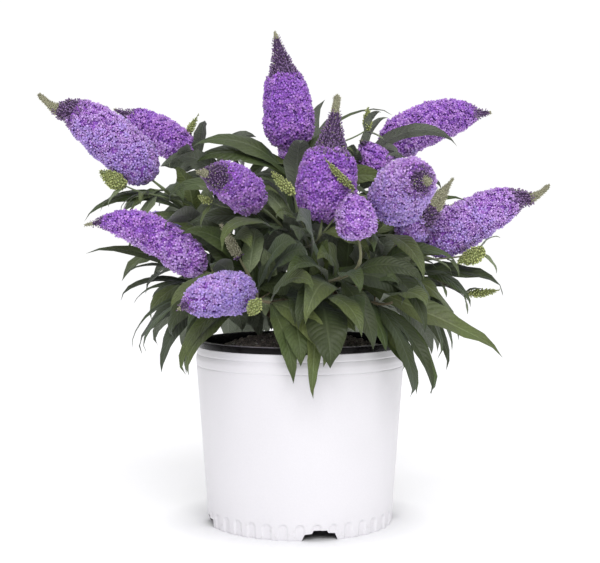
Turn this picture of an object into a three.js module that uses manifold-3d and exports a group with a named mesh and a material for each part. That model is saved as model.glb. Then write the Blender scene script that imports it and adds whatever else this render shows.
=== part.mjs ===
// Butterfly bush in flower, growing in a round nursery container.
// Millimetres, +Z up. The origin is the centre of the container's flat underside,
// the front of the plant faces -Y and its longest flower heads spread along X.
import * as THREE from 'three';
import { mergeVertices } from 'three/addons/utils/BufferGeometryUtils.js';
import Module from 'manifold-3d';

// Clearance between neighbouring pieces.
const GAP = 0.3;

// Container: a tapered wall with a fluted foot, drain notches and a narrowed collar.
const POT_FOOT_RADIUS = 122.5;
const POT_TAPER = 0.0735;
const POT_SHOULDER_Z = 219;
const POT_COLLAR_Z = 235;
const POT_COLLAR_RADIUS = 136;
const POT_WALL = 2.4;
const POT_FLOOR = 4;
const FLUTE_COUNT = 36;
const FLUTE_DEPTH = 1.8;
const FLUTE_TOP_Z = 21;
const NOTCH_COUNT = 4;
const NOTCH_TURN = 12;
const NOTCH_FOOT_WIDTH = 46;
const NOTCH_SHOULDER_WIDTH = 38;
const NOTCH_STEP_WIDTH = 16;
const NOTCH_SHOULDER_Z = 9;
const NOTCH_TOP_Z = 13;
const NOTCH_DEPTH = 20;

// Rolled rim, and the skirt that hangs from it inside the wall.
const RIM_TOP_Z = 244;
const RIM_RADIUS = 136.6;
const RIM_LIP_INNER_RADIUS = 130.2;
const RIM_SKIRT_Z = 214;
const RIM_SEGMENTS = 36;

// Potting mix.
const SOIL_Z = 226;

// Root crown: a flared stump with eight slanted facets that the boughs grow from.
const CROWN_SIDES = 8;
const CROWN_FLARE_RADIUS = 22;
const CROWN_RADIUS = 16;
const CROWN_TOP_RADIUS = 8;
const CROWN_WAIST_Z = 236;
const CROWN_SHOULDER_Z = 250;
const CROWN_TOP_Z = 260;
const CROWN_LEAN = 2.5;

// Boughs.
const BOUGH_SIDES = 6;
const BOUGH_STEPS = 5;
const BOUGH_ROOT_RADIUS = 4.6;
const BOUGH_TIP_RADIUS = 4.4;
const BOUGH_BEND = 24;

// Shoots: green stems with leaves in opposite pairs, each pair turned a quarter.
const STEM_SIDES = 3;
const STEM_ROOT_RADIUS = 2.3;
const STEM_TIP_RADIUS = 1.8;
const STEM_STEP = 30;
const SEAT_RADIUS = 2.9;
const STEM_BEND = 0.36;
const NODE_START = 10;
const NODE_SPACING = 23;
const TWIG_RADIUS = 1.3;
const TWIG_STEPS = 3;
const TWIG_LONGEST = 95;
const TWIG_PAIRS = [[0.55, 0.3], [0.95, 1.9]];
const TWIG_LEAF_NARROWING = 0.8;

// Green bud spikes at the ends of side twigs: radii from foot to tip.
const SPIKE_SIDES = 5;
const SPIKE_RADII = [2.5, 5.5, 4.6, 1.6];

// Leaves: narrow pointed blades that arch over and droop.
const LEAF_LENGTH = 118;
const LEAF_EARLY_BEND = 0.75;
const LEAF_SHORTENING_BELOW_HEAD = 0.5;
const LEAF_SHORTENING_AT_TIP = 0.3;
const LEAF_WIDTH_RATIO = 0.27;
const LEAF_WIDEST_EARLY = 0.72;
const LEAF_FULLNESS = 0.85;
const LEAF_THICKNESS_RATIO = 0.014;
const LEAF_MIN_THICKNESS = 1.3;
const PETIOLE_HALF_WIDTH = 0.8;
const PETIOLE_THICKNESS = 0.9;
const LEAF_MIDLINE_STEPS = 12;
const LEAF_FREE_FROM = 0.24;
const LEAF_PADDING = 0.35;
const LEAF_FACE_OUT = 0.85;
const SMALL_LEAF = 128;
const LEAF_LEAN = 0.55;
const LEAF_LEAN_SPREAD = 0.35;
const LEAF_DROOP = 1.0;
const LEAF_DROOP_SPREAD = 0.75;
const LEAF_SWAY = 0.7;
const PAIR_SPREAD = 0.5;
const STEEPEST_FALL = 1.45;
const AIM_NODES = 4;
const AIM_ARCHES = [0.75, 0.5, 0.95, 0.3];

// Flower heads.
const HEAD_SIDES = 8;
const HEAD_BUMP = 0.07;
const GUARD_BALLS = 10;
const STALK_LENGTH = 15;
const STALK_RADIUS = 1.3;
const HEAD_PROFILE = [
  [0, 0.30], [0.05, 0.74], [0.15, 1.0], [0.29, 0.99], [0.43, 0.91],
  [0.56, 0.78], [0.68, 0.56], [0.79, 0.36], [0.9, 0.22], [1, 0.09],
];

// The room that leaves keep from the soil, the rim, the wall and the flower heads.
const SOIL_ROOM = 8;
const RIM_ROOM = 5;
const WALL_ROOM = 7;
const INNER_ROOM = 12;
const HEAD_ROOM = 3;
const HEAD_ROOM_PER_WIDTH = 0.35;

// The room that the crown keeps to.
const REACH_X = 345;
const REACH_Y = 285;
const REACH_TOP = 660;
const REACH_FOOT = 165;

// Each bough: the way it leaves the root crown, its tip and its climb there, in degrees.
const BOUGHS = {
  front: { turn: 270, tip: [12, -62, 296], climb: 55 },
  front_left: { turn: 225, tip: [-50, -50, 294], climb: 45 },
  left: { turn: 180, tip: [-66, -4, 304], climb: 50 },
  back_left: { turn: 135, tip: [-48, 46, 306], climb: 60 },
  back: { turn: 90, tip: [0, 64, 302], climb: 55 },
  back_right: { turn: 45, tip: [50, 48, 308], climb: 60 },
  right: { turn: 0, tip: [68, -2, 300], climb: 48 },
  front_right: { turn: 315, tip: [50, -50, 294], climb: 50 },
  leader: { turn: null, tip: [-2, -4, 345], climb: 84 },
};

// Each shoot grows from a seat on a bough's tip to the base of its flower head, whose tip,
// width and bow (how far the middle is pushed up) follow. A shoot with no head ends in leaves.
// leaves: tips of single leaves that reach a set place, with the straight length from
// root to tip and the width. twigs: ends of side twigs, with the length of the green bud spike
// that each carries and the length of its own leaves.
const SHOOTS = [
  {
    name: 'far_left', bough: 'left', seed: 11,
    end: [-198, -20, 457], tip: [-339, -40, 565], width: 60, bow: 8,
    leaves: [[-199, -75, 404, 84, 30], [-150, -60, 425, 60, 17]],
    twigs: [[-240, -32, 436, 24, 44]],
  },
  {
    name: 'rear_left', bough: 'back_left', seed: 23,
    end: [-155, 90, 494], tip: [-266, 130, 561], width: 50, bow: 6,
    leaves: [[-93, 60, 488, 70, 14]],
    twigs: [[-140, 92, 528, 26, 30]],
  },
  {
    name: 'mid_left', bough: 'leader', seed: 31,
    end: [-58, -60, 421], tip: [-123, -175, 458], width: 52, bow: 6,
    leaves: [[-170, -50, 422, 112, 22], [-144, -90, 394, 118, 28], [-94, -165, 362, 92, 26]],
    twigs: [[-112, -104, 424, 20, 36]],
  },
  {
    name: 'top', bough: 'leader', seed: 43,
    end: [-13, 20, 500], tip: [-34, 30, 656], width: 67, bow: 0,
    leaves: [[-148, 20, 498, 122, 18], [-155, 30, 472, 128, 28], [1, -60, 500, 96, 38]],
    twigs: [[78, 40, 528, 24, 40]],
  },
  {
    name: 'middle', bough: 'leader', seed: 59,
    end: [28, -90, 404], tip: [48, -60, 562], width: 73, bow: 0,
    leaves: [[-61, -150, 330, 118, 26], [-30, -125, 402, 60, 18]],
    twigs: [[-8, -118, 434, 34, 0], [66, -118, 440, 44, 0]],
  },
  {
    name: 'rear_right', bough: 'back_right', seed: 61,
    end: [121, 110, 499], tip: [276, 150, 558], width: 60, bow: 4,
    leaves: [[208, -10, 499, 150, 25], [123, 80, 545, 70, 14], [71, 0, 453, 80, 20]],
    twigs: [],
  },
  {
    name: 'right_front', bough: 'front_right', seed: 73,
    end: [113, -110, 408], tip: [149, -236, 444], width: 68, bow: 6,
    leaves: [
      [254, -110, 229, 172, 36], [73, -192, 263, 98, 30], [6, -200, 277, 128, 38],
      [89, -172, 361, 64, 24], [151, -150, 328, 84, 26],
    ],
    twigs: [],
  },
  {
    name: 'far_right', bough: 'right', seed: 83,
    end: [172, 0, 362], tip: [338, 30, 450], width: 62, bow: -6,
    leaves: [[167, -70, 294, 96, 30], [191, -40, 205, 130, 24], [175, -80, 224, 128, 24]],
    twigs: [[228, 2, 342, 22, 58], [226, 18, 303, 34, 30]],
  },
  {
    name: 'low_left', bough: 'front_left', seed: 97,
    end: [-127, -80, 338], tip: [-272, -90, 395], width: 48, bow: 24,
    leaves: [[-278, -50, 358, 150, 15]],
    twigs: [],
  },
  {
    name: 'low_front', bough: 'front_left', seed: 101,
    end: [-68, -120, 311], tip: [-140, -236, 298], width: 54, bow: 6,
    leaves: [[-141, -128, 209, 118, 18], [-120, -150, 262, 70, 16]],
    twigs: [[-58, -146, 305, 26, 0]],
  },
  {
    name: 'small_front', bough: 'front', seed: 113,
    end: [70, -168, 382], tip: [62, -168, 434], width: 40, bow: 0,
    leaves: [[-17, -190, 333, 106, 28], [71, -190, 314, 66, 26]],
    twigs: [],
  },
  {
    name: 'small_right', bough: 'back_right', seed: 127,
    end: [110, 60, 468], tip: [83, 58, 513], width: 44, bow: 0,
    leaves: [],
    twigs: [[150, 70, 470, 0, 60]],
  },
  {
    name: 'budding_right', bough: 'front_right', seed: 131,
    end: [129, -60, 378], tip: [197, -60, 456], width: 38, bow: -6,
    leaves: [[200, -90, 344, 84, 24]],
    twigs: [],
  },
  {
    name: 'slender_left', bough: 'front_left', seed: 149,
    end: [-76, -98, 353], tip: [-100, -98, 397], width: 18, bow: 0,
    leaves: [[-100, -150, 318, 76, 22]],
    twigs: [],
  },
  {
    name: 'back_high', bough: 'back', seed: 151,
    end: [10, 120, 455], tip: [-20, 228, 560], width: 60, bow: 6,
    leaves: [],
    twigs: [[60, 140, 440, 22, 50]],
  },
  {
    name: 'back_left_high', bough: 'back_left', seed: 163,
    end: [-70, 150, 418], tip: [-128, 272, 466], width: 56, bow: 8,
    leaves: [],
    twigs: [[-130, 150, 400, 22, 50]],
  },
  {
    name: 'back_low', bough: 'back', seed: 179,
    end: [12, 150, 372], tip: [26, 276, 424], width: 58, bow: 10,
    leaves: [],
    twigs: [],
  },
  {
    name: 'back_right_low', bough: 'back_right', seed: 181,
    end: [126, 130, 370], tip: [236, 228, 428], width: 58, bow: 10,
    leaves: [],
    twigs: [[150, 170, 350, 22, 46]],
  },
  {
    name: 'back_left_low', bough: 'left', seed: 191,
    end: [-146, 88, 358], tip: [-268, 146, 398], width: 54, bow: 12,
    leaves: [],
    twigs: [],
  },
  {
    name: 'skirt_left', bough: 'left', seed: 197, end: [-132, -34, 304],
    heading: [-0.8, -0.4, 0.3],
    leaves: [
      [-228, -60, 326, 104, 13], [-214, -70, 294, 92, 16], [-189, -80, 302, 74, 15],
      [-233, -50, 296, 108, 13], [-198, -60, 230, 84, 15], [-221, -30, 233, 104, 10],
      [-176, -88, 208, 100, 27], [-142, -112, 209, 108, 16],
    ],
    twigs: [],
  },
  {
    name: 'skirt_front', bough: 'front', seed: 199, end: [26, -122, 306],
    heading: [0.15, -0.8, 0.5],
    leaves: [[36, -188, 224, 104, 52], [16, -176, 186, 128, 20], [73, -196, 262, 90, 28]],
    twigs: [],
  },
  {
    name: 'skirt_front_left', bough: 'front', seed: 241, end: [-48, -122, 302],
    heading: [-0.6, -0.65, 0.45],
    leaves: [
      [-8, -166, 203, 112, 24], [28, -174, 224, 112, 30], [15, -192, 316, 92, 26],
      [-100, -168, 236, 92, 24],
    ],
    twigs: [],
  },
  {
    name: 'inner_right', bough: 'right', seed: 251, end: [120, -20, 340],
    heading: [0.6, -0.3, 0.7],
    leaves: [[196, -60, 330, 88, 24]],
    twigs: [],
  },
  {
    name: 'skirt_right', bough: 'front_right', seed: 211, end: [116, -100, 298],
    heading: [0.7, -0.6, 0.4],
    leaves: [[134, -150, 189, 122, 28], [162, -128, 190, 124, 20], [166, -70, 178, 132, 20]],
    twigs: [],
  },
  {
    name: 'skirt_back_right', bough: 'right', seed: 223, end: [130, 62, 300],
    heading: [0.8, 0.5, 0.35],
    leaves: [[220, 60, 235, 110, 26], [196, 110, 215, 120, 24]],
    twigs: [],
  },
  {
    name: 'skirt_back', bough: 'back', seed: 227, end: [-14, 130, 298],
    heading: [-0.1, 0.85, 0.4],
    leaves: [[30, 200, 215, 116, 30], [-50, 205, 225, 112, 26]],
    twigs: [],
  },
  {
    name: 'skirt_back_left', bough: 'back_left', seed: 229, end: [-112, 104, 300],
    heading: [-0.7, 0.6, 0.4],
    leaves: [[-170, 150, 215, 110, 27], [-200, 90, 225, 114, 24]],
    twigs: [],
  },
];

// Colour, roughness and metalness of each material.
const FINISHES = {
  white_shell: ['#f4f4f8', 0.35],
  black_rim: ['#151214', 0.45],
  soil: ['#2e2a24', 0.95],
  bark: ['#6b5a45', 0.9],
  leaf: ['#47543a', 0.7],
  blossom: ['#9b6fc4', 0.8],
};

const wasm = await Module();
wasm.setup();

const UP = new THREE.Vector3(0, 0, 1);
const NEARLY_UPRIGHT = 0.2;

function vector(row) {
  return new THREE.Vector3(row[0], row[1], row[2]);
}

function heading(turn, climb) {
  const turnAngle = THREE.MathUtils.degToRad(turn);
  const climbAngle = THREE.MathUtils.degToRad(climb);
  return new THREE.Vector3(
    Math.cos(turnAngle) * Math.cos(climbAngle),
    Math.sin(turnAngle) * Math.cos(climbAngle),
    Math.sin(climbAngle),
  );
}

// Repeatable draws between 0 and 1.
function seededDraws(seed) {
  let state = seed * 7919 + 17;
  return () => {
    state = (state * 48271) % 2147483647;
    return state / 2147483647;
  };
}

// ---- Solids ----

function toSolid(geometry) {
  const bare = geometry.clone();
  bare.deleteAttribute('normal');
  bare.deleteAttribute('uv');
  const merged = mergeVertices(bare, 1e-4);
  return new wasm.Manifold(new wasm.Mesh({
    numProp: 3,
    vertProperties: new Float32Array(merged.attributes.position.array),
    triVerts: new Uint32Array(merged.index.array),
  }));
}

function toGeometry(solid) {
  const mesh = solid.getMesh();
  const geometry = new THREE.BufferGeometry();
  geometry.setAttribute('position', new THREE.BufferAttribute(mesh.vertProperties, 3));
  geometry.setIndex(new THREE.BufferAttribute(mesh.triVerts, 1));
  geometry.computeVertexNormals();
  return geometry;
}

// The largest body of a joined solid: loose scraps and sealed hollows are left out.
function largestBody(solid) {
  const bodies = solid.decompose();
  return bodies.reduce((best, body) => (body.volume() > best.volume() ? body : best));
}

// A closed skin over rings of equally many points, each ring turning anticlockwise when
// looked at against the way the rings run. An end may be a single point.
function ringSkin(rings) {
  const positions = [];
  const faces = [];
  const starts = [];
  for (const ring of rings) {
    starts.push(positions.length / 3);
    for (const point of ring) {
      positions.push(point.x, point.y, point.z);
    }
  }
  for (let i = 0; i < rings.length - 1; i += 1) {
    joinRings(faces, starts[i], rings[i].length, starts[i + 1], rings[i + 1].length);
  }
  closeRing(faces, starts[0], rings[0].length, true);
  const last = rings.length - 1;
  closeRing(faces, starts[last], rings[last].length, false);
  const geometry = new THREE.BufferGeometry();
  geometry.setAttribute('position', new THREE.Float32BufferAttribute(positions, 3));
  geometry.setIndex(faces);
  return geometry;
}

function joinRings(faces, a, countA, b, countB) {
  if (countA === 2 * countB) {
    halveRing(faces, a, b, countB);
    return;
  }
  const count = Math.max(countA, countB);
  for (let k = 0; k < count; k += 1) {
    const next = (k + 1) % count;
    if (countA === 1) {
      faces.push(a, b + next, b + k);
    } else if (countB === 1) {
      faces.push(a + k, a + next, b);
    } else {
      faces.push(a + k, a + next, b + next);
      faces.push(a + k, b + next, b + k);
    }
  }
}

// Joins a ring to one with half as many points.
function halveRing(faces, a, b, count) {
  for (let k = 0; k < count; k += 1) {
    const next = (k + 1) % count;
    const first = a + 2 * k;
    const last = a + ((2 * k + 2) % (2 * count));
    faces.push(first, first + 1, b + k);
    faces.push(first + 1, b + next, b + k);
    faces.push(first + 1, last, b + next);
  }
}

function closeRing(faces, start, count, atRoot) {
  for (let k = 1; k < count - 1; k += 1) {
    if (atRoot) {
      faces.push(start, start + k + 1, start + k);
    } else {
      faces.push(start, start + k, start + k + 1);
    }
  }
}

// Two directions across a path, anticlockwise when looked at against its way.
function acrossPath(way) {
  const side = new THREE.Vector3().crossVectors(way, UP);
  if (side.length() < NEARLY_UPRIGHT) {
    side.set(1, 0, 0);
  }
  side.addScaledVector(way, -side.dot(way)).normalize();
  const other = new THREE.Vector3().crossVectors(way, side);
  return [side, other];
}

// A tapered limb with flat ends along a curve. The cross section keeps its turn.
function limb(curve, sides, steps, radiusAt) {
  const rings = [];
  let [side] = acrossPath(curve.getTangentAt(0));
  for (let i = 0; i <= steps; i += 1) {
    const t = i / steps;
    const way = curve.getTangentAt(t);
    side = side.clone().addScaledVector(way, -side.dot(way)).normalize();
    const other = new THREE.Vector3().crossVectors(way, side);
    const centre = curve.getPointAt(t);
    const radius = radiusAt(t);
    const ring = [];
    for (let k = 0; k < sides; k += 1) {
      const angle = (2 * Math.PI * k) / sides;
      const point = centre.clone();
      point.addScaledVector(side, radius * Math.cos(angle));
      point.addScaledVector(other, radius * Math.sin(angle));
      ring.push(point);
    }
    rings.push(ring);
  }
  return ringSkin(rings);
}

function bend(start, startWay, end, endWay, reach) {
  return new THREE.CubicBezierCurve3(
    start.clone(),
    start.clone().addScaledVector(startWay, reach),
    end.clone().addScaledVector(endWay, -reach),
    end.clone(),
  );
}

// ---- Container ----

function wallRadius(z) {
  return POT_FOOT_RADIUS + POT_TAPER * z;
}

function fluteRadius(column, z) {
  const recessed = column % 2 === 1 && z < FLUTE_TOP_Z;
  return wallRadius(z) - (recessed ? FLUTE_DEPTH : 0);
}

function wheelRing(z, radiusAt, count) {
  const ring = [];
  for (let k = 0; k < count; k += 1) {
    const angle = (2 * Math.PI * k) / count;
    const radius = radiusAt(k);
    ring.push(new THREE.Vector3(radius * Math.cos(angle), radius * Math.sin(angle), z));
  }
  return ring;
}

// Outline of a drain notch, seen from outside, with its stepped top.
function notchShape() {
  const foot = NOTCH_FOOT_WIDTH / 2;
  const shoulder = NOTCH_SHOULDER_WIDTH / 2;
  const step = NOTCH_STEP_WIDTH / 2;
  const shape = new THREE.Shape();
  shape.moveTo(-foot, -1);
  shape.lineTo(foot, -1);
  shape.lineTo(shoulder, NOTCH_SHOULDER_Z);
  shape.lineTo(step, NOTCH_SHOULDER_Z);
  shape.lineTo(step - 2, NOTCH_TOP_Z);
  shape.lineTo(2 - step, NOTCH_TOP_Z);
  shape.lineTo(-step, NOTCH_SHOULDER_Z);
  shape.lineTo(-shoulder, NOTCH_SHOULDER_Z);
  shape.closePath();
  return shape;
}

function notchSolid(index) {
  const geometry = new THREE.ExtrudeGeometry(notchShape(), {
    depth: NOTCH_DEPTH * 2,
    bevelEnabled: false,
  });
  geometry.rotateX(Math.PI / 2);
  geometry.rotateZ(Math.PI / 2);
  geometry.translate(POT_FOOT_RADIUS - NOTCH_DEPTH, 0, 0);
  geometry.rotateZ(THREE.MathUtils.degToRad(NOTCH_TURN + (360 / NOTCH_COUNT) * index));
  return toSolid(geometry);
}

// The wall's outside, over the rim's seat and down the inside to the floor. The floor is
// thick enough under the soil to close over the drain notches.
function potGeometry() {
  const columns = FLUTE_COUNT * 2;
  const inner = (z) => () => wallRadius(z) - POT_WALL;
  const floorTop = NOTCH_TOP_Z + POT_FLOOR;
  const rings = [
    wheelRing(0, (k) => fluteRadius(k, 0), columns),
    wheelRing(FLUTE_TOP_Z - 4, (k) => fluteRadius(k, FLUTE_TOP_Z - 4), columns),
    wheelRing(FLUTE_TOP_Z, () => wallRadius(FLUTE_TOP_Z), FLUTE_COUNT),
    wheelRing(POT_SHOULDER_Z, () => wallRadius(POT_SHOULDER_Z), FLUTE_COUNT),
    wheelRing(POT_COLLAR_Z, () => POT_COLLAR_RADIUS, FLUTE_COUNT),
    wheelRing(POT_COLLAR_Z, () => POT_COLLAR_RADIUS - POT_WALL, FLUTE_COUNT),
    wheelRing(RIM_SKIRT_Z - 4, inner(RIM_SKIRT_Z - 4), FLUTE_COUNT),
    wheelRing(floorTop, inner(floorTop), FLUTE_COUNT),
  ];
  let solid = toSolid(ringSkin(rings));
  for (let index = 0; index < NOTCH_COUNT; index += 1) {
    solid = solid.subtract(notchSolid(index));
  }
  return toGeometry(largestBody(solid));
}

function rimGeometry() {
  const skirtOuter = POT_COLLAR_RADIUS - POT_WALL - GAP;
  const skirtInner = skirtOuter - 2;
  const lipBottom = POT_COLLAR_Z + GAP;
  const profile = [
    [skirtOuter - 1.2, RIM_SKIRT_Z],
    [skirtOuter, lipBottom],
    [RIM_RADIUS, lipBottom],
    [RIM_RADIUS - 0.4, RIM_TOP_Z - 2],
    [RIM_RADIUS - 2.4, RIM_TOP_Z],
    [RIM_LIP_INNER_RADIUS + 1.2, RIM_TOP_Z],
    [RIM_LIP_INNER_RADIUS, RIM_TOP_Z - 2],
    [skirtInner - 1.2, RIM_SKIRT_Z],
    [skirtOuter - 1.2, RIM_SKIRT_Z],
  ];
  const points = profile.map(([radius, z]) => new THREE.Vector2(radius, z));
  const geometry = new THREE.LatheGeometry(points, RIM_SEGMENTS);
  geometry.rotateX(Math.PI / 2);
  return toGeometry(toSolid(geometry));
}

function soilGeometry() {
  const floor = NOTCH_TOP_Z + POT_FLOOR + GAP;
  const rings = [
    wheelRing(floor, () => wallRadius(floor) - POT_WALL - 1, RIM_SEGMENTS),
    wheelRing(RIM_SKIRT_Z - 5, () => wallRadius(RIM_SKIRT_Z - 5) - POT_WALL - 1, RIM_SEGMENTS),
    wheelRing(RIM_SKIRT_Z - 4, () => RIM_LIP_INNER_RADIUS - 2.2, RIM_SEGMENTS),
    wheelRing(SOIL_Z, () => RIM_LIP_INNER_RADIUS - 1.4, RIM_SEGMENTS),
  ];
  return ringSkin(rings);
}

// ---- Root crown and boughs ----

function crownCentre(z) {
  const share = (z - SOIL_Z) / (CROWN_TOP_Z - SOIL_Z);
  return new THREE.Vector3(-CROWN_LEAN * share, 0, z);
}

function crownRing(z, radius) {
  const centre = crownCentre(z);
  const ring = [];
  for (let k = 0; k < CROWN_SIDES; k += 1) {
    const angle = (2 * Math.PI * (k + 0.5)) / CROWN_SIDES;
    ring.push(new THREE.Vector3(
      centre.x + radius * Math.cos(angle),
      centre.y + radius * Math.sin(angle),
      z,
    ));
  }
  return ring;
}

function crownGeometry() {
  return ringSkin([
    crownRing(SOIL_Z + GAP, CROWN_FLARE_RADIUS),
    crownRing(CROWN_WAIST_Z, CROWN_RADIUS - 1.5),
    crownRing(CROWN_SHOULDER_Z, CROWN_RADIUS),
    crownRing(CROWN_TOP_Z, CROWN_TOP_RADIUS),
  ]);
}

// Centre and outward direction of the facet that a bough grows from.
function crownFacet(turn) {
  if (turn === null) {
    return [crownCentre(CROWN_TOP_Z), UP.clone()];
  }
  const first = turn / (360 / CROWN_SIDES) + CROWN_SIDES - 1;
  const low = crownRing(CROWN_SHOULDER_Z, CROWN_RADIUS);
  const high = crownRing(CROWN_TOP_Z, CROWN_TOP_RADIUS);
  const lowA = low[first % CROWN_SIDES];
  const lowB = low[(first + 1) % CROWN_SIDES];
  const highA = high[first % CROWN_SIDES];
  const highB = high[(first + 1) % CROWN_SIDES];
  const centre = lowA.clone().add(lowB).add(highA).add(highB).multiplyScalar(0.25);
  const normal = new THREE.Vector3().crossVectors(lowB.clone().sub(lowA), highA.clone().sub(lowA));
  return [centre, normal.normalize()];
}

function boughCurve(bough) {
  const [facet, normal] = crownFacet(bough.turn);
  const start = facet.clone().addScaledVector(normal, GAP);
  const tip = vector(bough.tip);
  const turn = THREE.MathUtils.radToDeg(Math.atan2(tip.y, tip.x));
  return bend(start, normal, tip, heading(turn, bough.climb), BOUGH_BEND);
}

function boughGeometry(bough) {
  const radiusAt = (t) => BOUGH_ROOT_RADIUS + (BOUGH_TIP_RADIUS - BOUGH_ROOT_RADIUS) * t;
  return limb(boughCurve(bough), BOUGH_SIDES, BOUGH_STEPS, radiusAt);
}

// ---- Shoots ----

function headWay(shoot) {
  if (shoot.tip) {
    return vector(shoot.tip).sub(vector(shoot.end)).normalize();
  }
  return vector(shoot.heading).normalize();
}

// Where a shoot sits on its bough's tip: the shoots of one bough sit evenly round the tip,
// in the order of the ways that they lead, so that they part without crossing.
function seatAngle(shoot, side, other) {
  const tip = vector(BOUGHS[shoot.bough].tip);
  const seated = SHOOTS.filter((row) => row.bough === shoot.bough).map((row) => {
    const span = vector(row.end).sub(tip);
    return { name: row.name, angle: Math.atan2(span.dot(other), span.dot(side)) };
  });
  seated.sort((a, b) => a.angle - b.angle);
  const step = (2 * Math.PI) / seated.length;
  let sine = 0;
  let cosine = 0;
  seated.forEach((row, index) => {
    sine += Math.sin(row.angle - step * index);
    cosine += Math.cos(row.angle - step * index);
  });
  const rank = seated.findIndex((row) => row.name === shoot.name);
  return Math.atan2(sine, cosine) + step * rank;
}

function stemCurve(shoot) {
  const bough = boughCurve(BOUGHS[shoot.bough]);
  const way = bough.getTangentAt(1);
  const [side, other] = acrossPath(way);
  const angle = seatAngle(shoot, side, other);
  const start = bough.getPointAt(1).addScaledVector(way, GAP);
  start.addScaledVector(side, SEAT_RADIUS * Math.cos(angle));
  start.addScaledVector(other, SEAT_RADIUS * Math.sin(angle));
  const endWay = headWay(shoot);
  const end = vector(shoot.end);
  if (shoot.tip) {
    end.addScaledVector(endWay, -STALK_LENGTH);
  }
  const reach = start.distanceTo(end) * STEM_BEND;
  return bend(start, way, end, endWay, reach);
}

function stemRadius(t) {
  return STEM_ROOT_RADIUS + (STEM_TIP_RADIUS - STEM_ROOT_RADIUS) * t;
}

function stemSteps(curve) {
  return Math.max(3, Math.round(curve.getLength() / STEM_STEP));
}

function stemGeometry(curve) {
  return limb(curve, STEM_SIDES, stemSteps(curve), stemRadius);
}

// The point at t on the straight stretches that a limb with so many steps is made of.
function pointOnStretch(curve, steps, t) {
  const index = Math.min(steps - 1, Math.floor(t * steps));
  const from = curve.getPointAt(index / steps);
  const to = curve.getPointAt((index + 1) / steps);
  return from.lerp(to, t * steps - index);
}

// ---- Leaves ----

// A leaf is told by its root, the way it sets out (turn), its climb at the root and at the
// tip, its sideways sway, its length and its width. Angles are in radians.
function leafMidline(leaf, from = 0) {
  const points = [];
  const ways = [];
  const point = leaf.root.clone();
  for (let i = 0; i <= LEAF_MIDLINE_STEPS; i += 1) {
    const s = i / LEAF_MIDLINE_STEPS;
    const turn = leaf.turn + leaf.sway * s;
    const bent = LEAF_EARLY_BEND * s + (1 - LEAF_EARLY_BEND) * s * s;
    const climb = leaf.climb + (leaf.fall - leaf.climb) * bent;
    const way = new THREE.Vector3(
      Math.cos(turn) * Math.cos(climb),
      Math.sin(turn) * Math.cos(climb),
      Math.sin(climb),
    );
    if (s >= from - 1e-6) {
      points.push(point.clone());
      ways.push({ s, turn, way });
    }
    point.addScaledVector(way, leaf.length / LEAF_MIDLINE_STEPS);
  }
  return { points, ways };
}

// Half width along the blade, as a share of the full half width: widest before the middle,
// with a long point.
function leafOutline(s) {
  return Math.sin(Math.PI * s ** LEAF_WIDEST_EARLY) ** LEAF_FULLNESS;
}

// Which way the blade's right edge lies: its face turns up and outwards from the plant.
function leafSide(leaf) {
  const facing = new THREE.Vector3(leaf.root.x, leaf.root.y, 0);
  facing.setLength(LEAF_FACE_OUT).add(UP);
  const climb = (leaf.climb + leaf.fall) / 2;
  const chord = new THREE.Vector3(
    Math.cos(leaf.turn) * Math.cos(climb),
    Math.sin(leaf.turn) * Math.cos(climb),
    Math.sin(climb),
  );
  return new THREE.Vector3().crossVectors(chord, facing).normalize();
}

function leafSection(point, way, leafAcross, halfWidth, depth) {
  const side = leafAcross.clone().addScaledVector(way, -leafAcross.dot(way)).normalize();
  const top = new THREE.Vector3().crossVectors(side, way);
  return [
    point.clone().addScaledVector(side, -halfWidth),
    point.clone().addScaledVector(side, halfWidth),
    point.clone().addScaledVector(top, -depth),
  ];
}

// The blade as three-cornered sections: two edges and a keel under the midrib.
function leafGeometry(leaf, from, padding) {
  const { points, ways } = leafMidline(leaf);
  const across = leafSide(leaf);
  const thickness = Math.max(LEAF_MIN_THICKNESS, leaf.length * LEAF_THICKNESS_RATIO);
  const stations = leaf.length > SMALL_LEAF ? [3, 6, 9] : [4, 8];
  const rings = [];
  if (from === 0) {
    const half = PETIOLE_HALF_WIDTH + padding;
    rings.push(leafSection(points[0], ways[0].way, across, half, PETIOLE_THICKNESS + padding));
  }
  for (const index of stations) {
    const { s, way } = ways[index];
    const half = (leaf.width / 2) * leafOutline(s) + padding;
    const lifted = points[index].clone().addScaledVector(UP, padding);
    rings.push(leafSection(lifted, way, across, half, thickness + 2 * padding));
  }
  const last = points[points.length - 1].clone();
  last.addScaledVector(ways[ways.length - 1].way, padding);
  rings.push([last]);
  return ringSkin(rings);
}

// ---- Flower heads ----

function headCurve(shoot) {
  const base = vector(shoot.end);
  const tip = vector(shoot.tip);
  const middle = base.clone().add(tip).multiplyScalar(0.5);
  middle.z += shoot.bow * 2;
  return new THREE.QuadraticBezierCurve3(base, middle, tip);
}

function headGeometry(shoot, padding = 0) {
  const curve = headCurve(shoot);
  const rings = [];
  let [side] = acrossPath(curve.getTangentAt(0));
  HEAD_PROFILE.forEach(([t, share], index) => {
    const way = curve.getTangentAt(t);
    side = side.clone().addScaledVector(way, -side.dot(way)).normalize();
    const other = new THREE.Vector3().crossVectors(way, side);
    const centre = curve.getPointAt(t);
    const ring = [];
    for (let k = 0; k < HEAD_SIDES; k += 1) {
      const bump = (k + index) % 2 === 0 ? 1 + HEAD_BUMP : 1 - HEAD_BUMP;
      const radius = (shoot.width / 2) * share * bump + padding;
      const angle = (2 * Math.PI * k) / HEAD_SIDES;
      const point = centre.clone();
      point.addScaledVector(side, radius * Math.cos(angle));
      point.addScaledVector(other, radius * Math.sin(angle));
      ring.push(point);
    }
    rings.push(ring);
  });
  return ringSkin(rings);
}

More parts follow.
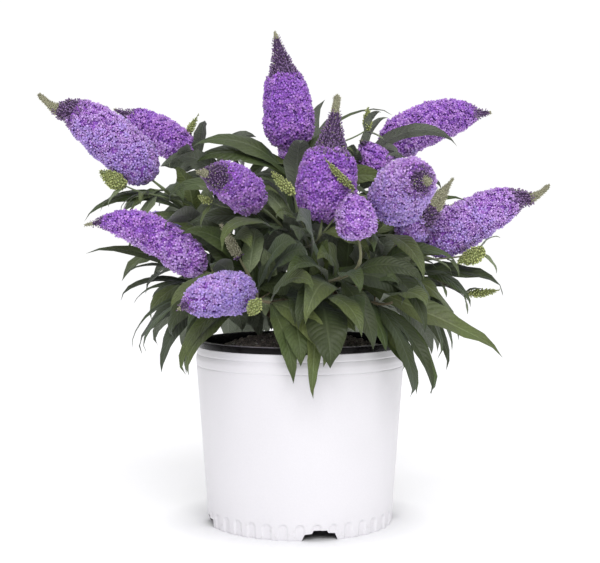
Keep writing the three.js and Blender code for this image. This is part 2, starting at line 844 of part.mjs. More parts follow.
function stalkGeometry(shoot) {
  const way = headWay(shoot);
  const start = stemCurve(shoot).getPointAt(1).addScaledVector(way, GAP);
  const inside = headCurve(shoot).getPointAt(0.2);
  const reach = start.distanceTo(inside) * 0.4;
  const curve = bend(start, way, inside, headCurve(shoot).getTangentAt(0.2), reach);
  return limb(curve, STEM_SIDES, 2, () => STALK_RADIUS);
}

function headSolid(shoot) {
  const joined = toSolid(headGeometry(shoot)).add(toSolid(stalkGeometry(shoot)));
  return largestBody(joined);
}

// ---- Growing the leaves ----

// Whether a leaf's midline keeps out of the container, the soil and the flower heads,
// and inside the crown's room.
function midlineIsFree(leaf, heads) {
  const { points, ways } = leafMidline(leaf, LEAF_FREE_FROM);
  return points.every((point, i) => {
    const half = (leaf.width / 2) * leafOutline(ways[i].s);
    return pointIsFree(point, half, heads);
  });
}

function pointIsFree(point, half, heads) {
  const out = Math.hypot(point.x, point.y);
  const overSoil = out < RIM_LIP_INNER_RADIUS - INNER_ROOM && point.z > SOIL_Z + SOIL_ROOM;
  const pastWall = out > wallRadius(POT_SHOULDER_Z) + WALL_ROOM;
  const overRim = point.z > RIM_TOP_Z + RIM_ROOM;
  const inRoom = Math.abs(point.x) < REACH_X && Math.abs(point.y) < REACH_Y
    && point.z < REACH_TOP && point.z > REACH_FOOT;
  if (!(overSoil || pastWall || overRim) || !inRoom) {
    return false;
  }
  return heads.every((head) => head.clearOf(point, half * HEAD_ROOM_PER_WIDTH + HEAD_ROOM));
}

// A flower head as a row of balls, for the quick test above.
function headGuard(shoot) {
  const curve = headCurve(shoot);
  const balls = [];
  for (let i = 0; i <= GUARD_BALLS; i += 1) {
    const t = i / GUARD_BALLS;
    balls.push([curve.getPointAt(t), (shoot.width / 2) * headShare(t)]);
  }
  const clearOf = (point, room) => balls.every(
    ([centre, radius]) => centre.distanceTo(point) > radius + room,
  );
  return { clearOf };
}

function headShare(t) {
  const index = HEAD_PROFILE.findIndex(([station]) => station >= t);
  if (index <= 0) {
    return HEAD_PROFILE[0][1];
  }
  const [t0, a] = HEAD_PROFILE[index - 1];
  const [t1, b] = HEAD_PROFILE[index];
  return a + ((b - a) * (t - t0)) / (t1 - t0);
}

// Small turns and lifts tried in order until a leaf comes free.
const LEAF_TRIES = [
  [0, 0], [0, 0.22], [0.2, 0.1], [-0.2, 0.1], [0, 0.45], [0.4, 0.2], [-0.4, 0.2],
  [0, -0.25], [0.3, -0.2], [-0.3, -0.2],
];

function leafTries(leaf) {
  return LEAF_TRIES.map(([turn, lift]) => ({
    ...leaf,
    turn: leaf.turn + turn,
    climb: leaf.climb + lift,
    fall: leaf.fall + lift,
  }));
}

// Leaves whose tip comes to a set place, from the stem points that suit the length best,
// with a flatter or a rounder arch.
function aimedTries(row, nodes) {
  const tip = vector(row);
  const [, , , chord, width] = row;
  const misfit = (node) => Math.abs(node.point.distanceTo(tip) - chord);
  const nearest = [...nodes].sort((a, b) => misfit(a) - misfit(b)).slice(0, AIM_NODES);
  return AIM_ARCHES.flatMap((arch) => nearest.map((node) => aimedLeaf(node.point, tip, arch, width)));
}

function aimedLeaf(root, tip, fullArch, width) {
  const span = tip.clone().sub(root);
  const turn = Math.atan2(span.y, span.x);
  const slope = Math.atan2(span.z, Math.hypot(span.x, span.y));
  const arch = Math.min(fullArch, STEEPEST_FALL + slope);
  const length = (span.length() * arch) / Math.sin(arch);
  return { root, turn, climb: slope + arch, fall: slope - arch, sway: 0, length, width };
}

// The stem points that bear leaves, each with the way of the stem and the pair's turn.
function stemNodes(curve, draws, start, spacing) {
  const nodes = [];
  const length = curve.getLength();
  const steps = stemSteps(curve);
  const firstTurn = draws() * Math.PI;
  let at = start;
  while (at < length - 3) {
    const t = at / length;
    const pairTurn = firstTurn + (nodes.length * Math.PI) / 2;
    const point = pointOnStretch(curve, steps, t);
    nodes.push({ t, pairTurn, point, way: curve.getTangentAt(t) });
    at += spacing * (0.9 + 0.25 * draws());
  }
  return nodes;
}

// A pair of leaves on opposite sides of a stem.
function leafPair(node, size, draws) {
  const [side, other] = acrossPath(node.way);
  return [0, 1].map((which) => {
    const around = node.pairTurn + which * Math.PI + (draws() - 0.5) * PAIR_SPREAD;
    const out = side.clone().multiplyScalar(Math.cos(around));
    out.addScaledVector(other, Math.sin(around));
    const lean = LEAF_LEAN + LEAF_LEAN_SPREAD * draws();
    const way = out.multiplyScalar(Math.cos(lean)).addScaledVector(node.way, Math.sin(lean));
    const length = size * (0.86 + 0.28 * draws());
    const climb = Math.asin(THREE.MathUtils.clamp(way.z, -0.95, 0.95));
    const droop = LEAF_DROOP + LEAF_DROOP_SPREAD * draws();
    return {
      root: node.point,
      turn: Math.atan2(way.y, way.x),
      climb,
      fall: Math.max(-STEEPEST_FALL, climb - droop),
      sway: (draws() - 0.5) * LEAF_SWAY,
      length,
      width: length * LEAF_WIDTH_RATIO * (0.85 + 0.3 * draws()),
    };
  });
}

function pairSize(shoot, t) {
  const shortening = shoot.tip ? LEAF_SHORTENING_BELOW_HEAD : LEAF_SHORTENING_AT_TIP;
  return LEAF_LENGTH * (1 - shortening * t * t);
}

// A side twig: its own stem, its leaves and its green bud spike.
function sideTwig(row, nodes, draws) {
  const end = vector(row);
  const [, , , spike, leafSize] = row;
  const below = nodes.filter((node) => node.point.distanceTo(end) < TWIG_LONGEST);
  const root = (below.length ? below[0] : nodes[nodes.length - 1]);
  const away = end.clone().sub(root.point).normalize();
  const startWay = away.clone().addScaledVector(root.way, 0.5).normalize();
  const endWay = away.clone().addScaledVector(UP, 0.25).normalize();
  const curve = bend(root.point, startWay, end, endWay, root.point.distanceTo(end) * 0.35);
  const leaves = [];
  if (leafSize > 0) {
    for (const [t, turn] of TWIG_PAIRS) {
      const point = pointOnStretch(curve, TWIG_STEPS, t);
      const node = { point, way: curve.getTangentAt(t), pairTurn: turn };
      leaves.push(...leafPair(node, leafSize, draws));
    }
  }
  for (const leaf of leaves) {
    leaf.width *= TWIG_LEAF_NARROWING;
  }
  return { curve, leaves, spike, end, endWay };
}

function spikeGeometry(twig) {
  const tip = twig.end.clone().addScaledVector(twig.endWay, twig.spike);
  const foot = twig.end.clone().addScaledVector(twig.endWay, -SPIKE_RADII[0]);
  const steps = SPIKE_RADII.length - 1;
  const radiusAt = (t) => SPIKE_RADII[Math.round(t * steps)];
  return limb(new THREE.LineCurve3(foot, tip), SPIKE_SIDES, steps, radiusAt);
}

// Pieces already grown, for the exact test that neighbours stay apart.
class Neighbours {
  constructor() {
    this.pieces = [];
  }

  add(owner, solid) {
    const bounds = solid.boundingBox();
    this.pieces.push({ owner, solid, low: bounds.min, high: bounds.max });
  }

  touches(solid, matches) {
    const { min, max } = solid.boundingBox();
    return this.pieces.some((piece) => {
      if (!matches(piece)) {
        return false;
      }
      for (let axis = 0; axis < 3; axis += 1) {
        if (piece.low[axis] > max[axis] || piece.high[axis] < min[axis]) {
          return false;
        }
      }
      return !piece.solid.intersect(solid).isEmpty();
    });
  }
}

// Whether a leaf keeps clear: all of it from other nodes' pieces, and its free part from
// the other leaves of its own shoot.
function leafFits(leaf, owner, neighbours) {
  const whole = toSolid(leafGeometry(leaf, 0, LEAF_PADDING));
  if (neighbours.touches(whole, (piece) => piece.owner !== owner)) {
    return false;
  }
  const free = toSolid(leafGeometry(leaf, LEAF_FREE_FROM, LEAF_PADDING));
  return !neighbours.touches(free, (piece) => piece.owner === owner);
}

// Grows the first of a leaf's tries that is free and fits.
function growLeaf(tries, plan, heads, neighbours) {
  const owner = plan.shoot.name;
  const grown = tries.find((leaf) => midlineIsFree(leaf, heads) && leafFits(leaf, owner, neighbours));
  if (grown) {
    const solid = toSolid(leafGeometry(grown, 0, 0));
    neighbours.add(owner, solid);
    plan.solids.push(solid);
  }
}

function growTwig(twig, plan, heads, neighbours) {
  const padded = toSolid(limb(twig.curve, STEM_SIDES, TWIG_STEPS, () => TWIG_RADIUS + LEAF_PADDING));
  if (neighbours.touches(padded, (piece) => piece.owner !== plan.shoot.name)) {
    return;
  }
  const parts = [toSolid(limb(twig.curve, STEM_SIDES, TWIG_STEPS, () => TWIG_RADIUS))];
  if (twig.spike > 0) {
    parts.push(toSolid(spikeGeometry(twig)));
  }
  if (parts.some((part) => neighbours.touches(part, (piece) => piece.owner !== plan.shoot.name))) {
    return;
  }
  for (const part of parts) {
    neighbours.add(plan.shoot.name, part);
    plan.solids.push(part);
  }
  for (const leaf of twig.leaves) {
    growLeaf(leafTries(leaf), plan, heads, neighbours);
  }
}

// Everything that one shoot may bear, in the order in which it is drawn.
function planShoot(shoot) {
  const draws = seededDraws(shoot.seed);
  const curve = stemCurve(shoot);
  const nodes = stemNodes(curve, draws, NODE_START, NODE_SPACING);
  const aimed = shoot.leaves.map((row) => aimedTries(row, nodes));
  const twigs = shoot.twigs.map((row) => sideTwig(row, nodes, draws));
  const pairs = nodes.map((node) => leafPair(node, pairSize(shoot, node.t), draws));
  const stem = toSolid(stemGeometry(curve));
  return { shoot, aimed, twigs, pairs, solids: [stem] };
}

// ---- The plant ----

function finish(name) {
  const [color, roughness] = FINISHES[name];
  return new THREE.MeshStandardMaterial({ color, roughness, metalness: 0 });
}

function piece(name, geometry, finishName) {
  geometry.computeVertexNormals();
  const mesh = new THREE.Mesh(geometry, finish(finishName));
  mesh.name = name;
  return mesh;
}

function container() {
  const group = new THREE.Group();
  group.add(piece('pot', potGeometry(), 'white_shell'));
  group.add(piece('pot_rim', rimGeometry(), 'black_rim'));
  group.add(piece('potting_mix', soilGeometry(), 'soil'));
  return group;
}

function limbs() {
  const group = new THREE.Group();
  group.add(piece('root_crown', crownGeometry(), 'bark'));
  for (const [name, bough] of Object.entries(BOUGHS)) {
    group.add(piece(`bough_${name}`, boughGeometry(bough), 'bark'));
  }
  return group;
}

function flowerHeads() {
  const group = new THREE.Group();
  for (const shoot of SHOOTS.filter((row) => row.tip)) {
    group.add(piece(`head_${shoot.name}`, toGeometry(headSolid(shoot)), 'blossom'));
  }
  return group;
}

function leafyShoots(fixed) {
  const neighbours = new Neighbours();
  for (const mesh of fixed) {
    neighbours.add(mesh.name, toSolid(mesh.geometry));
  }
  const heads = SHOOTS.filter((row) => row.tip).map(headGuard);
  const plans = SHOOTS.map(planShoot);
  for (const plan of plans) {
    neighbours.add(plan.shoot.name, plan.solids[0]);
  }
  for (const plan of plans) {
    plan.aimed.forEach((tries) => growLeaf(tries, plan, heads, neighbours));
    plan.twigs.forEach((twig) => growTwig(twig, plan, heads, neighbours));
  }
  const mostPairs = Math.max(...plans.map((plan) => plan.pairs.length));
  for (let row = 0; row < mostPairs; row += 1) {
    for (const plan of plans) {
      const pair = plan.pairs[row] ?? [];
      pair.forEach((leaf) => growLeaf(leafTries(leaf), plan, heads, neighbours));
    }
  }
  const group = new THREE.Group();
  for (const plan of plans) {
    const joined = largestBody(wasm.Manifold.union(plan.solids));
    group.add(piece(`shoot_${plan.shoot.name}`, toGeometry(joined), 'leaf'));
  }
  return group;
}

const potted = container();
const woody = limbs();
const blossoms = flowerHeads();
const bush = new THREE.Group();
bush.name = 'potted_butterfly_bush';
bush.add(potted, woody, blossoms);
bush.add(leafyShoots([...potted.children, ...woody.children, ...blossoms.children]));

export default bush;
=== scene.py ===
"""A butterfly bush in flower, growing in a round nursery container.

Metres, +Z up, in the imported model's frame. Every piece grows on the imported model: the container
over its shell, the bark over its boughs, and the shoots, leaves and flower heads by the same
seeded rule as the solids, carried on to finer leaves, florets and buds within the same reach.
"""
from collections import defaultdict
from dataclasses import dataclass, replace
from functools import lru_cache
from math import asin, atan2, copysign, cos, exp, hypot, pi, radians, sin

import bmesh
import bpy
import numpy as np
from bpy.props import FloatProperty, FloatVectorProperty, IntProperty, PointerProperty
from bpy.types import Operator, Panel, PropertyGroup
from mathutils import Matrix, Vector, noise


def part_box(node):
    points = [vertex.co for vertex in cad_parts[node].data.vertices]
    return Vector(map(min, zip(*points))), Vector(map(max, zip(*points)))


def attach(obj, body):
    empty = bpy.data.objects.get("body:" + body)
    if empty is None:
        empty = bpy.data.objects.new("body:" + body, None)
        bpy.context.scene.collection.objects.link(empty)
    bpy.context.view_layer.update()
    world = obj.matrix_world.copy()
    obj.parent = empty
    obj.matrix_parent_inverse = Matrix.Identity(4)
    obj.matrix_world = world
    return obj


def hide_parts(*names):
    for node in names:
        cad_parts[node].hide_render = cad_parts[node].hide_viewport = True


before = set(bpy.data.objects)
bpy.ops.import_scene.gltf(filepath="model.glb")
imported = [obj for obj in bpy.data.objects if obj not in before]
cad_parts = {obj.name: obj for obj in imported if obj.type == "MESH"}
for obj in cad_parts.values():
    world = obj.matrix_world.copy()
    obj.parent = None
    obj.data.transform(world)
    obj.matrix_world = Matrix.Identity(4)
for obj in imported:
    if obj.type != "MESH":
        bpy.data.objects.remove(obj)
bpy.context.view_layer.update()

bl_info = {
    "name": "Potted Butterfly Bush",
    "version": (1, 0, 0),
    "blender": (4, 5, 0),
    "location": "3D View > Sidebar > Bush",
    "description": "Makes a butterfly bush in flower, in its nursery container",
    "category": "Object",
}

BODY = "root"
UP = Vector((0, 0, 1))
NEARLY_UPRIGHT = .2
NEARLY_ALL = .9999
TINY = 1e-6

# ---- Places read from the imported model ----

COLLAR_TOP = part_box("pot")[1].z
RIM_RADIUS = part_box("pot_rim")[1].x
RIM_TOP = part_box("pot_rim")[1].z
RIM_SKIRT_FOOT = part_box("pot_rim")[0].z
SOIL_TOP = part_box("potting_mix")[1].z
SOIL_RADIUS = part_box("potting_mix")[1].x

# ---- Container ----

FOOT_RADIUS = .1225
WALL_TAPER = .0735
WALL = .0024
SHOULDER_Z = .219
COLLAR_RADIUS = .136
FLUTES = 36
FLUTE_TOP = .021
FLUTE_DEPTH = .0018
FLUTE_HALF_WIDTH = .0062
FLUTE_EDGE = .0016
NOTCHES = 4
NOTCH_TURN = 12
NOTCH_OUTLINE = [
    (-.0235, -.001), (.0235, -.001), (.0195, .0085), (.0105, .0095),
    (.0085, .013), (-.0085, .013), (-.0105, .0095), (-.0195, .0085),
]
NOTCH_DEPTH = .02
MOULD_LINES = (.2105, .2255)
MOULD_LINE_DEPTH = .0005
RIM_LIP_INNER_RADIUS = .1302
FOOT_FLOOR = .017

# ---- The growth rule: the same as the solids', in metres ----

GAP = .0003
CROWN_SIDES = 8
CROWN_FLARE_RADIUS = .022
CROWN_RADIUS = .016
CROWN_TOP_RADIUS = .008
CROWN_SHOULDER_Z = .25
CROWN_TOP_Z = .26
CROWN_LEAN = .0025
BOUGH_ROOT_RADIUS = .0046
BOUGH_TIP_RADIUS = .0044
BOUGH_BEND = .024

STEM_ROOT_RADIUS = .0023
STEM_TIP_RADIUS = .0018
SEAT_RADIUS = .0029
STEM_BEND = .36
NODE_START = .01
NODE_END_ROOM = .003
NODE_SPACING = .023
NODE_GAPS = (.9, .25)
TWIG_RADIUS = .0013
TWIG_LONGEST = .095
TWIG_BEND = .35
TWIG_LIFT = .25
TWIG_FOLLOWS_STEM = .5
TWIG_PAIRS = ((.55, .3), (.95, 1.9))
TWIG_LEAF_NARROWING = .8
SPIKE_RADII = (.0025, .0055, .0046, .0016)

LEAF_EARLY_BEND = .75
LEAF_SHORTENING_BELOW_HEAD = .5
LEAF_SHORTENING_AT_TIP = .3
LEAF_MIDLINE_STEPS = 12
LEAF_FREE_FROM = .24
LEAF_FACE_OUT = .85
LEAF_FACE_ALONG = .8
LEAF_FACE_FREE_RADIUS = .05
LEAF_FACE_TURNS_AT = .04
LEAF_LEAN = (.55, .35)
LEAF_DROOP = (1.0, .75)
LEAF_LENGTHS = (.86, .28)
LEAF_WIDTHS = (.85, .3)
LEAF_SWAY = .7
LEAF_TIP_FROM = .72
LEAF_OUTLINE_SKEW = .72
LEAF_OUTLINE_FULLNESS = .85
PAIR_SPREAD = .5
STEEPEST_CLIMB = .95
STEEPEST_FALL = 1.45
AIM_NODES = 4
AIM_ARCHES = (.75, .5, .95, .3)
AIM_ROUNDS = 4
LEAF_TRIES = (
    (0, 0), (0, .22), (.2, .1), (-.2, .1), (0, .45), (.4, .2), (-.4, .2),
    (0, -.25), (.3, -.2), (-.3, -.2),
)

STALK_LENGTH = .015
STALK_RADIUS = .0013
GUARD_BALLS = 10
HEAD_PROFILE = (
    (0, .3), (.05, .74), (.15, 1.0), (.29, .99), (.43, .91),
    (.56, .78), (.68, .56), (.79, .36), (.9, .22), (1, .09),
)

SOIL_ROOM = .008
RIM_ROOM = .005
WALL_ROOM = .007
INNER_ROOM = .012
HEAD_ROOM = .003
HEAD_ROOM_PER_WIDTH = .35
REACH_X = .345
REACH_Y = .285
REACH_TOP = .66
REACH_FOOT = .165

# Balls of air that leaves keep out of, where the container's rim and soil show.
CLEARINGS = (
    ((-.079, -.15, .2575), .031), ((-.076, -.19, .262), .028),
)


@dataclass(frozen=True)
class Bough:
    """The way a bough leaves the root crown, its tip and its climb there, in degrees."""

    turn: float | None
    tip: tuple
    climb: float


@dataclass(frozen=True)
class Shoot:
    """A shoot from its bough's tip to the foot of its flower head, or to its last leaves.

    leaves: tips of single leaves, with their straight length, width and, for some, arch.
    twigs: ends of side twigs, with the lengths of their bud spike and of their leaves, and for
    some the spike's way and girth. open_until, felt_from: shares of the head's length, where
    florets are open and where buds are pale felt. age: turns florets from violet to lavender.
    rise, tail, sway: lift of the head's middle, sag before its tip, and bend aside. blunt,
    plump, bud_girth, tip_girth: fill out its tip, all of it, its bud zone and its very tip.
    dusty: mixes pale buds among the violet ones.
    """

    name: str
    bough: str
    seed: int
    end: tuple
    tip: tuple | None = None
    width: float = 0
    open_until: float = .68
    felt_from: float = .88
    age: float = .4
    bow: float = 0
    leaves: tuple = ()
    twigs: tuple = ()
    heading: tuple | None = None
    tail: float = 0
    rise: float = 0
    blunt: float = .3
    bud_girth: float = .88
    tip_girth: float = 1
    plump: float = 1
    sway: float = 0
    dusty: float = .12


BOUGHS = {
    "front": Bough(270, (.012, -.062, .296), 55),
    "front_left": Bough(225, (-.05, -.05, .294), 45),
    "left": Bough(180, (-.066, -.004, .304), 50),
    "back_left": Bough(135, (-.048, .046, .306), 60),
    "back": Bough(90, (0, .064, .302), 55),
    "back_right": Bough(45, (.05, .048, .308), 60),
    "right": Bough(0, (.068, -.002, .3), 48),
    "front_right": Bough(315, (.05, -.05, .294), 50),
    "leader": Bough(None, (-.002, -.004, .345), 84),
}

# Name, bough and seed; then the end of the shoot. A flowering shoot goes on with the columns of
# its head: tip, width, share open, share where felt begins, and age.
SHOOTS = [
    Shoot("far_left", "left", 11, (-.198, -.02, .457), (-.339, -.04, .565), .06, .7, .84, .5,
        bow=.008, tail=.008, rise=.006, blunt=.5, plump=1.03,
        leaves=((-.199, -.075, .404, .084, .03), (-.15, -.06, .425, .06, .017)),
        twigs=((-.228, -.045, .447, .036, .044, -.85, 0, .5, 2.2),)),
    Shoot("rear_left", "back_left", 23, (-.155, .09, .494), (-.266, .13, .561), .05, .76, .97, .2,
        bow=.006, blunt=.6, plump=.95, leaves=((-.093, .06, .488, .07, .014),),
        twigs=((-.16, .092, .521, .034, .03, .5, 0, .85, 1.05),)),
    Shoot("mid_left", "leader", 31, (-.058, -.06, .421), (-.123, -.175, .458), .052, .64, .86, .12,
        bow=.006, blunt=.6, dusty=.2, plump=.94, rise=.005,
        leaves=((-.17, -.05, .422, .112, .022), (-.144, -.09, .394, .118, .028),
        (-.094, -.165, .362, .092, .026)), twigs=((-.112, -.104, .424, .02, .036),)),
    Shoot("top", "leader", 43, (-.013, .02, .5), (-.034, .03, .656), .067, .62, .93, .06,
        blunt=0, plump=.97, tip_girth=1.3, sway=.004, leaves=((-.148, .02, .498, .122, .03, 1.2),
        (-.155, .03, .472, .128, .034, .8), (.001, -.06, .5, .096, .038)),
        twigs=((.092, .04, .526, .03, .04, .02, 0, 1, 1.3),)),
    Shoot("middle", "leader", 59, (.028, -.09, .404), (.048, -.06, .562), .073, .5, .84, .08,
        blunt=0, bud_girth=.66, dusty=.3, tip_girth=2.4, leaves=((-.061, -.15, .33, .118, .026),
        (-.03, -.125, .402, .06, .018)), twigs=((-.008, -.118, .434, .04, 0, -.7, -.2, .7, 1.35),
        (.066, -.118, .44, .052, 0, -.68, -.1, .72, 1.1))),
    Shoot("rear_right", "back_right", 61, (.121, .11, .499), (.276, .15, .558), .06, .84, .97, .22,
        bow=.004, rise=.014, blunt=1, plump=.95, leaves=((.208, -.01, .499, .15, .021, .18),
        (.123, .08, .545, .07, .014), (.071, 0, .453, .08, .02))),
    Shoot("right_front", "front_right", 73, (.113, -.11, .408), (.149, -.236, .444), .068, .77, .91, .5,
        bow=.006, blunt=.5, rise=.013, leaves=((.254, -.11, .229, .172, .036, .06),
        (.073, -.192, .263, .098, .03), (.006, -.2, .277, .128, .038),
        (.089, -.172, .361, .064, .024), (.151, -.15, .328, .084, .026))),
    Shoot("far_right", "right", 83, (.172, 0, .362), (.338, .03, .45), .062, .68, .82, .46,
        bow=-.006, tail=.007, rise=.015, blunt=.1, plump=.96,
        leaves=((.167, -.07, .294, .096, .03), (.191, -.04, .205, .13, .024),
        (.175, -.08, .224, .128, .024)), twigs=((.241, -.02, .362, .036, .036, -.85, 0, -.4, 2.2),
        (.226, .018, .303, .044, .03, 1, 0, .12, 1.2))),
    Shoot("low_left", "front_left", 97, (-.127, -.08, .338), (-.272, -.09, .395), .048, .86, .93, .24,
        bow=.024, rise=-.001, blunt=.9, plump=.95, leaves=((-.278, -.05, .358, .15, .02, .3),)),
    Shoot("low_front", "front_left", 101, (-.068, -.12, .311), (-.14, -.236, .298), .054, .88, .97, .7,
        bow=.006, blunt=.8, plump=.93, leaves=((-.141, -.128, .209, .118, .018),
        (-.12, -.15, .262, .07, .016)), twigs=((-.05, -.165, .304, .022, 0, -.4, -.3, -.6, 1.7),)),
    Shoot("small_front", "front", 113, (.07, -.168, .382), (.062, -.168, .434), .04, .95, .99, .3,
        blunt=.9, plump=1.15, leaves=((-.017, -.19, .333, .106, .028),
        (.071, -.19, .314, .066, .026))),
    Shoot("small_right", "back_right", 127, (.11, .06, .468), (.083, .058, .513), .044, .8, .93, .2,
        twigs=((.15, .07, .47, 0, .06),)),
    Shoot("budding_right", "front_right", 131, (.129, -.06, .378), (.197, -.06, .456), .038, .3, .55, .6,
        bow=-.006, leaves=((.2, -.09, .344, .084, .024),)),
    Shoot("slender_left", "front_left", 149, (-.076, -.098, .353), (-.1, -.098, .397), .018, 0, .05, .3,
        leaves=((-.1, -.15, .318, .076, .022),)),
    Shoot("back_high", "back", 151, (.01, .12, .455), (-.02, .228, .56), .06, .66, .88, .3,
        bow=.006, tail=.004, twigs=((.06, .14, .44, .022, .05),)),
    Shoot("back_left_high", "back_left", 163, (-.07, .15, .418), (-.128, .272, .466), .056, .7, .9, .65,
        bow=.008, tail=.004, twigs=((-.13, .15, .4, .022, .05),)),
    Shoot("back_low", "back", 179, (.012, .15, .372), (.026, .276, .424), .058, .72, .9, .45,
        bow=.01),
    Shoot("back_right_low", "back_right", 181, (.126, .13, .37), (.236, .228, .428), .058, .64, .86, .15,
        bow=.01, tail=.006, twigs=((.15, .17, .35, .022, .046),)),
    Shoot("back_left_low", "left", 191, (-.146, .088, .358), (-.268, .146, .398), .054, .74, .9, .8,
        bow=.012, tail=.004),
    Shoot("skirt_left", "left", 197, (-.132, -.034, .304),
        heading=(-.8, -.4, .3), leaves=((-.228, -.06, .326, .104, .013),
        (-.214, -.07, .294, .092, .016), (-.189, -.08, .302, .074, .015),
        (-.233, -.05, .296, .108, .013), (-.198, -.06, .23, .084, .015),
        (-.221, -.03, .233, .104, .01), (-.176, -.088, .208, .1, .027),
        (-.142, -.112, .209, .108, .016))),
    Shoot("skirt_front", "front", 199, (.026, -.122, .306),
        heading=(.15, -.8, .5), leaves=((.036, -.188, .224, .104, .052),
        (.016, -.176, .186, .128, .02), (.073, -.196, .262, .09, .028))),
    Shoot("skirt_front_left", "front", 241, (-.048, -.122, .302),
        heading=(-.6, -.65, .45), leaves=((-.008, -.166, .203, .112, .024),
        (.028, -.174, .224, .112, .03), (.015, -.192, .316, .092, .026),
        (-.1, -.168, .236, .092, .024))),
    Shoot("inner_right", "right", 251, (.12, -.02, .34),
        heading=(.6, -.3, .7), leaves=((.196, -.06, .33, .088, .024),)),
    Shoot("skirt_right", "front_right", 211, (.116, -.1, .298),
        heading=(.7, -.6, .4), leaves=((.134, -.15, .184, .126, .028),
        (.162, -.128, .184, .128, .02), (.166, -.07, .178, .132, .02))),
    Shoot("skirt_back_right", "right", 223, (.13, .062, .3),
        heading=(.8, .5, .35), leaves=((.22, .06, .235, .11, .026), (.196, .11, .215, .12, .024))),
    Shoot("skirt_back", "back", 227, (-.014, .13, .298),
        heading=(-.1, .85, .4), leaves=((.03, .2, .215, .116, .03),
        (-.05, .205, .225, .112, .026))),
    Shoot("skirt_back_left", "back_left", 229, (-.112, .104, .3),
        heading=(-.7, .6, .4), leaves=((-.17, .15, .215, .11, .027),
        (-.2, .09, .225, .114, .024))),
]

# Leaves too fine for the solids: tips, straight lengths, widths and arches, by shoot.
FINER_LEAVES = {
    "top": ((-.105, .03, .484, .09, .03, .7), (.055, .05, .531, .1, .026, .8),
        (.128, .06, .546, .15, .009, 1.05)),
    "middle": ((.05, .05, .505, .13, .026, .45),),
    "rear_left": ((-.19, .04, .475, .06, .028, .3), (-.168, .03, .45, .06, .024, .6)),
    "rear_right": ((.05, .09, .51, .1, .02, .5),),
    "far_left": ((-.283, -.03, .399, .11, .016, .8), (-.262, -.03, .412, .09, .011, .9),
        (-.235, -.03, .412, .07, .012, .9), (-.202, -.02, .403, .084, .032, .4),
        (-.166, -.02, .472, .06, .032, .5), (-.172, -.04, .425, .06, .016, .8)),
    "slender_left": ((-.135, -.06, .375, .08, .034, .4), (-.15, -.05, .4, .09, .032, .4)),
    "far_right": ((.27, -.01, .3, .12, .03, .4), (.228, .0, .285, .1, .026, .5),
        (.2, -.03, .23, .12, .026, .4)),
    "budding_right": ((.219, -.03, .427, .1, .016, .5),),
    "back_high": ((.035, .08, .57, .15, .034, .3), (.055, .07, .553, .14, .03, .4)),
    "skirt_back": ((-.07, .215, .212, .12, .036, .8), (-.03, .225, .21, .12, .036, .8),
        (.012, .228, .212, .12, .036, .8), (.05, .222, .21, .12, .036, .8),
        (.068, .24, .205, .13, .036, .8), (.1, .225, .205, .13, .036, .6),
        (-.095, .215, .205, .13, .036, .8), (-.04, .082, .2485, .07, .036, .5)),
    "skirt_back_left": ((-.105, .195, .21, .115, .036, .8), (-.14, .175, .21, .11, .036, .7),
        (-.08, .056, .2485, .075, .036, .5), (-.062, .074, .2485, .075, .036, .5)),
    "skirt_back_right": ((.09, .165, .238, .1, .034, .8), (.125, .17, .21, .1, .034, .8)),
}


# ---- Sizes and colours that a user may change ----

def size(name, description, default, highest=1.0):
    return FloatProperty(
        name=name, description=description, default=default, min=0, max=highest, unit="LENGTH",
        precision=4,
    )


def share(name, description, default, highest=1.0):
    return FloatProperty(name=name, description=description, default=default, min=0, max=highest)


def from_screen(value):
    """A screen colour's share of light, from its 0 to 255 step."""
    step = value / 255
    return step / 12.92 if step <= .04045 else ((step + .055) / 1.055) ** 2.4


def colour(name, description, red, green, blue):
    return FloatVectorProperty(
        name=name, description=description, subtype="COLOR", size=3, min=0, max=1,
        default=(from_screen(red), from_screen(green), from_screen(blue)),
    )


class BushContainer(PropertyGroup):
    """Sizes of the container's dressing."""

    columns: IntProperty(name="Columns", description="Steps round the shell", default=576, min=72)
    flute_depth: size("Flute depth", "How far each flute of the foot is pressed in", FLUTE_DEPTH)
    line_depth: size("Line depth", "Depth of the two fine moulding lines", MOULD_LINE_DEPTH)
    crumbs: size("Crumb spacing", "Distance between crumbs of the potting mix", .0028)
    chips: size("Chip spacing", "Distance between bark chips on the potting mix", .011)
    grains: size("Grain spacing", "Distance between white grains in the potting mix", .022)


class BushGrowth(PropertyGroup):
    """Sizes of limbs and leaves."""

    leaf_length: size("Leaf length", "Length of a full leaf", .136)
    leaf_width: share("Leaf width", "Width of a leaf as a share of its length", .27)
    sprout_leaf: size("Sprout leaf length", "Length of the small leaves in the leaf axils", .062)
    sprout_chance: share("Sprouts", "Share of leaf axils that bear a sprout", .17)
    thinning: share("Thinning", "Share of leaves that have fallen", .1)
    blade: size("Blade thickness", "Thickness of a leaf's blade", .0005)
    bark_relief: size("Bark relief", "Height of the bark's ridges", .0011)
    stem_step: size("Stem step", "Length of a stem's straight stretches", .006)


class BushBlossom(PropertyGroup):
    """Sizes of florets and buds."""

    floret: size("Floret radius", "From the middle of a floret to the tips of its petals", .0037)
    floret_spacing: size("Floret spacing", "Least distance between florets", .0033)
    floret_lift: size("Floret lift", "How far florets stand off the head's core", .0024)
    bud: size("Bud length", "Length of a violet bud", .0056)
    bud_spacing: size("Bud spacing", "Least distance between violet buds", .0023)
    felt_bud: size("Felt bud length", "Length of a pale bud at a head's tip", .003)
    felt_spacing: size("Felt bud spacing", "Least distance between pale buds", .0017)
    spike_bud: size("Spike bud length", "Length of a bud on a green spike", .0036)
    spike_spacing: size("Spike bud spacing", "Least distance between buds on a spike", .0019)


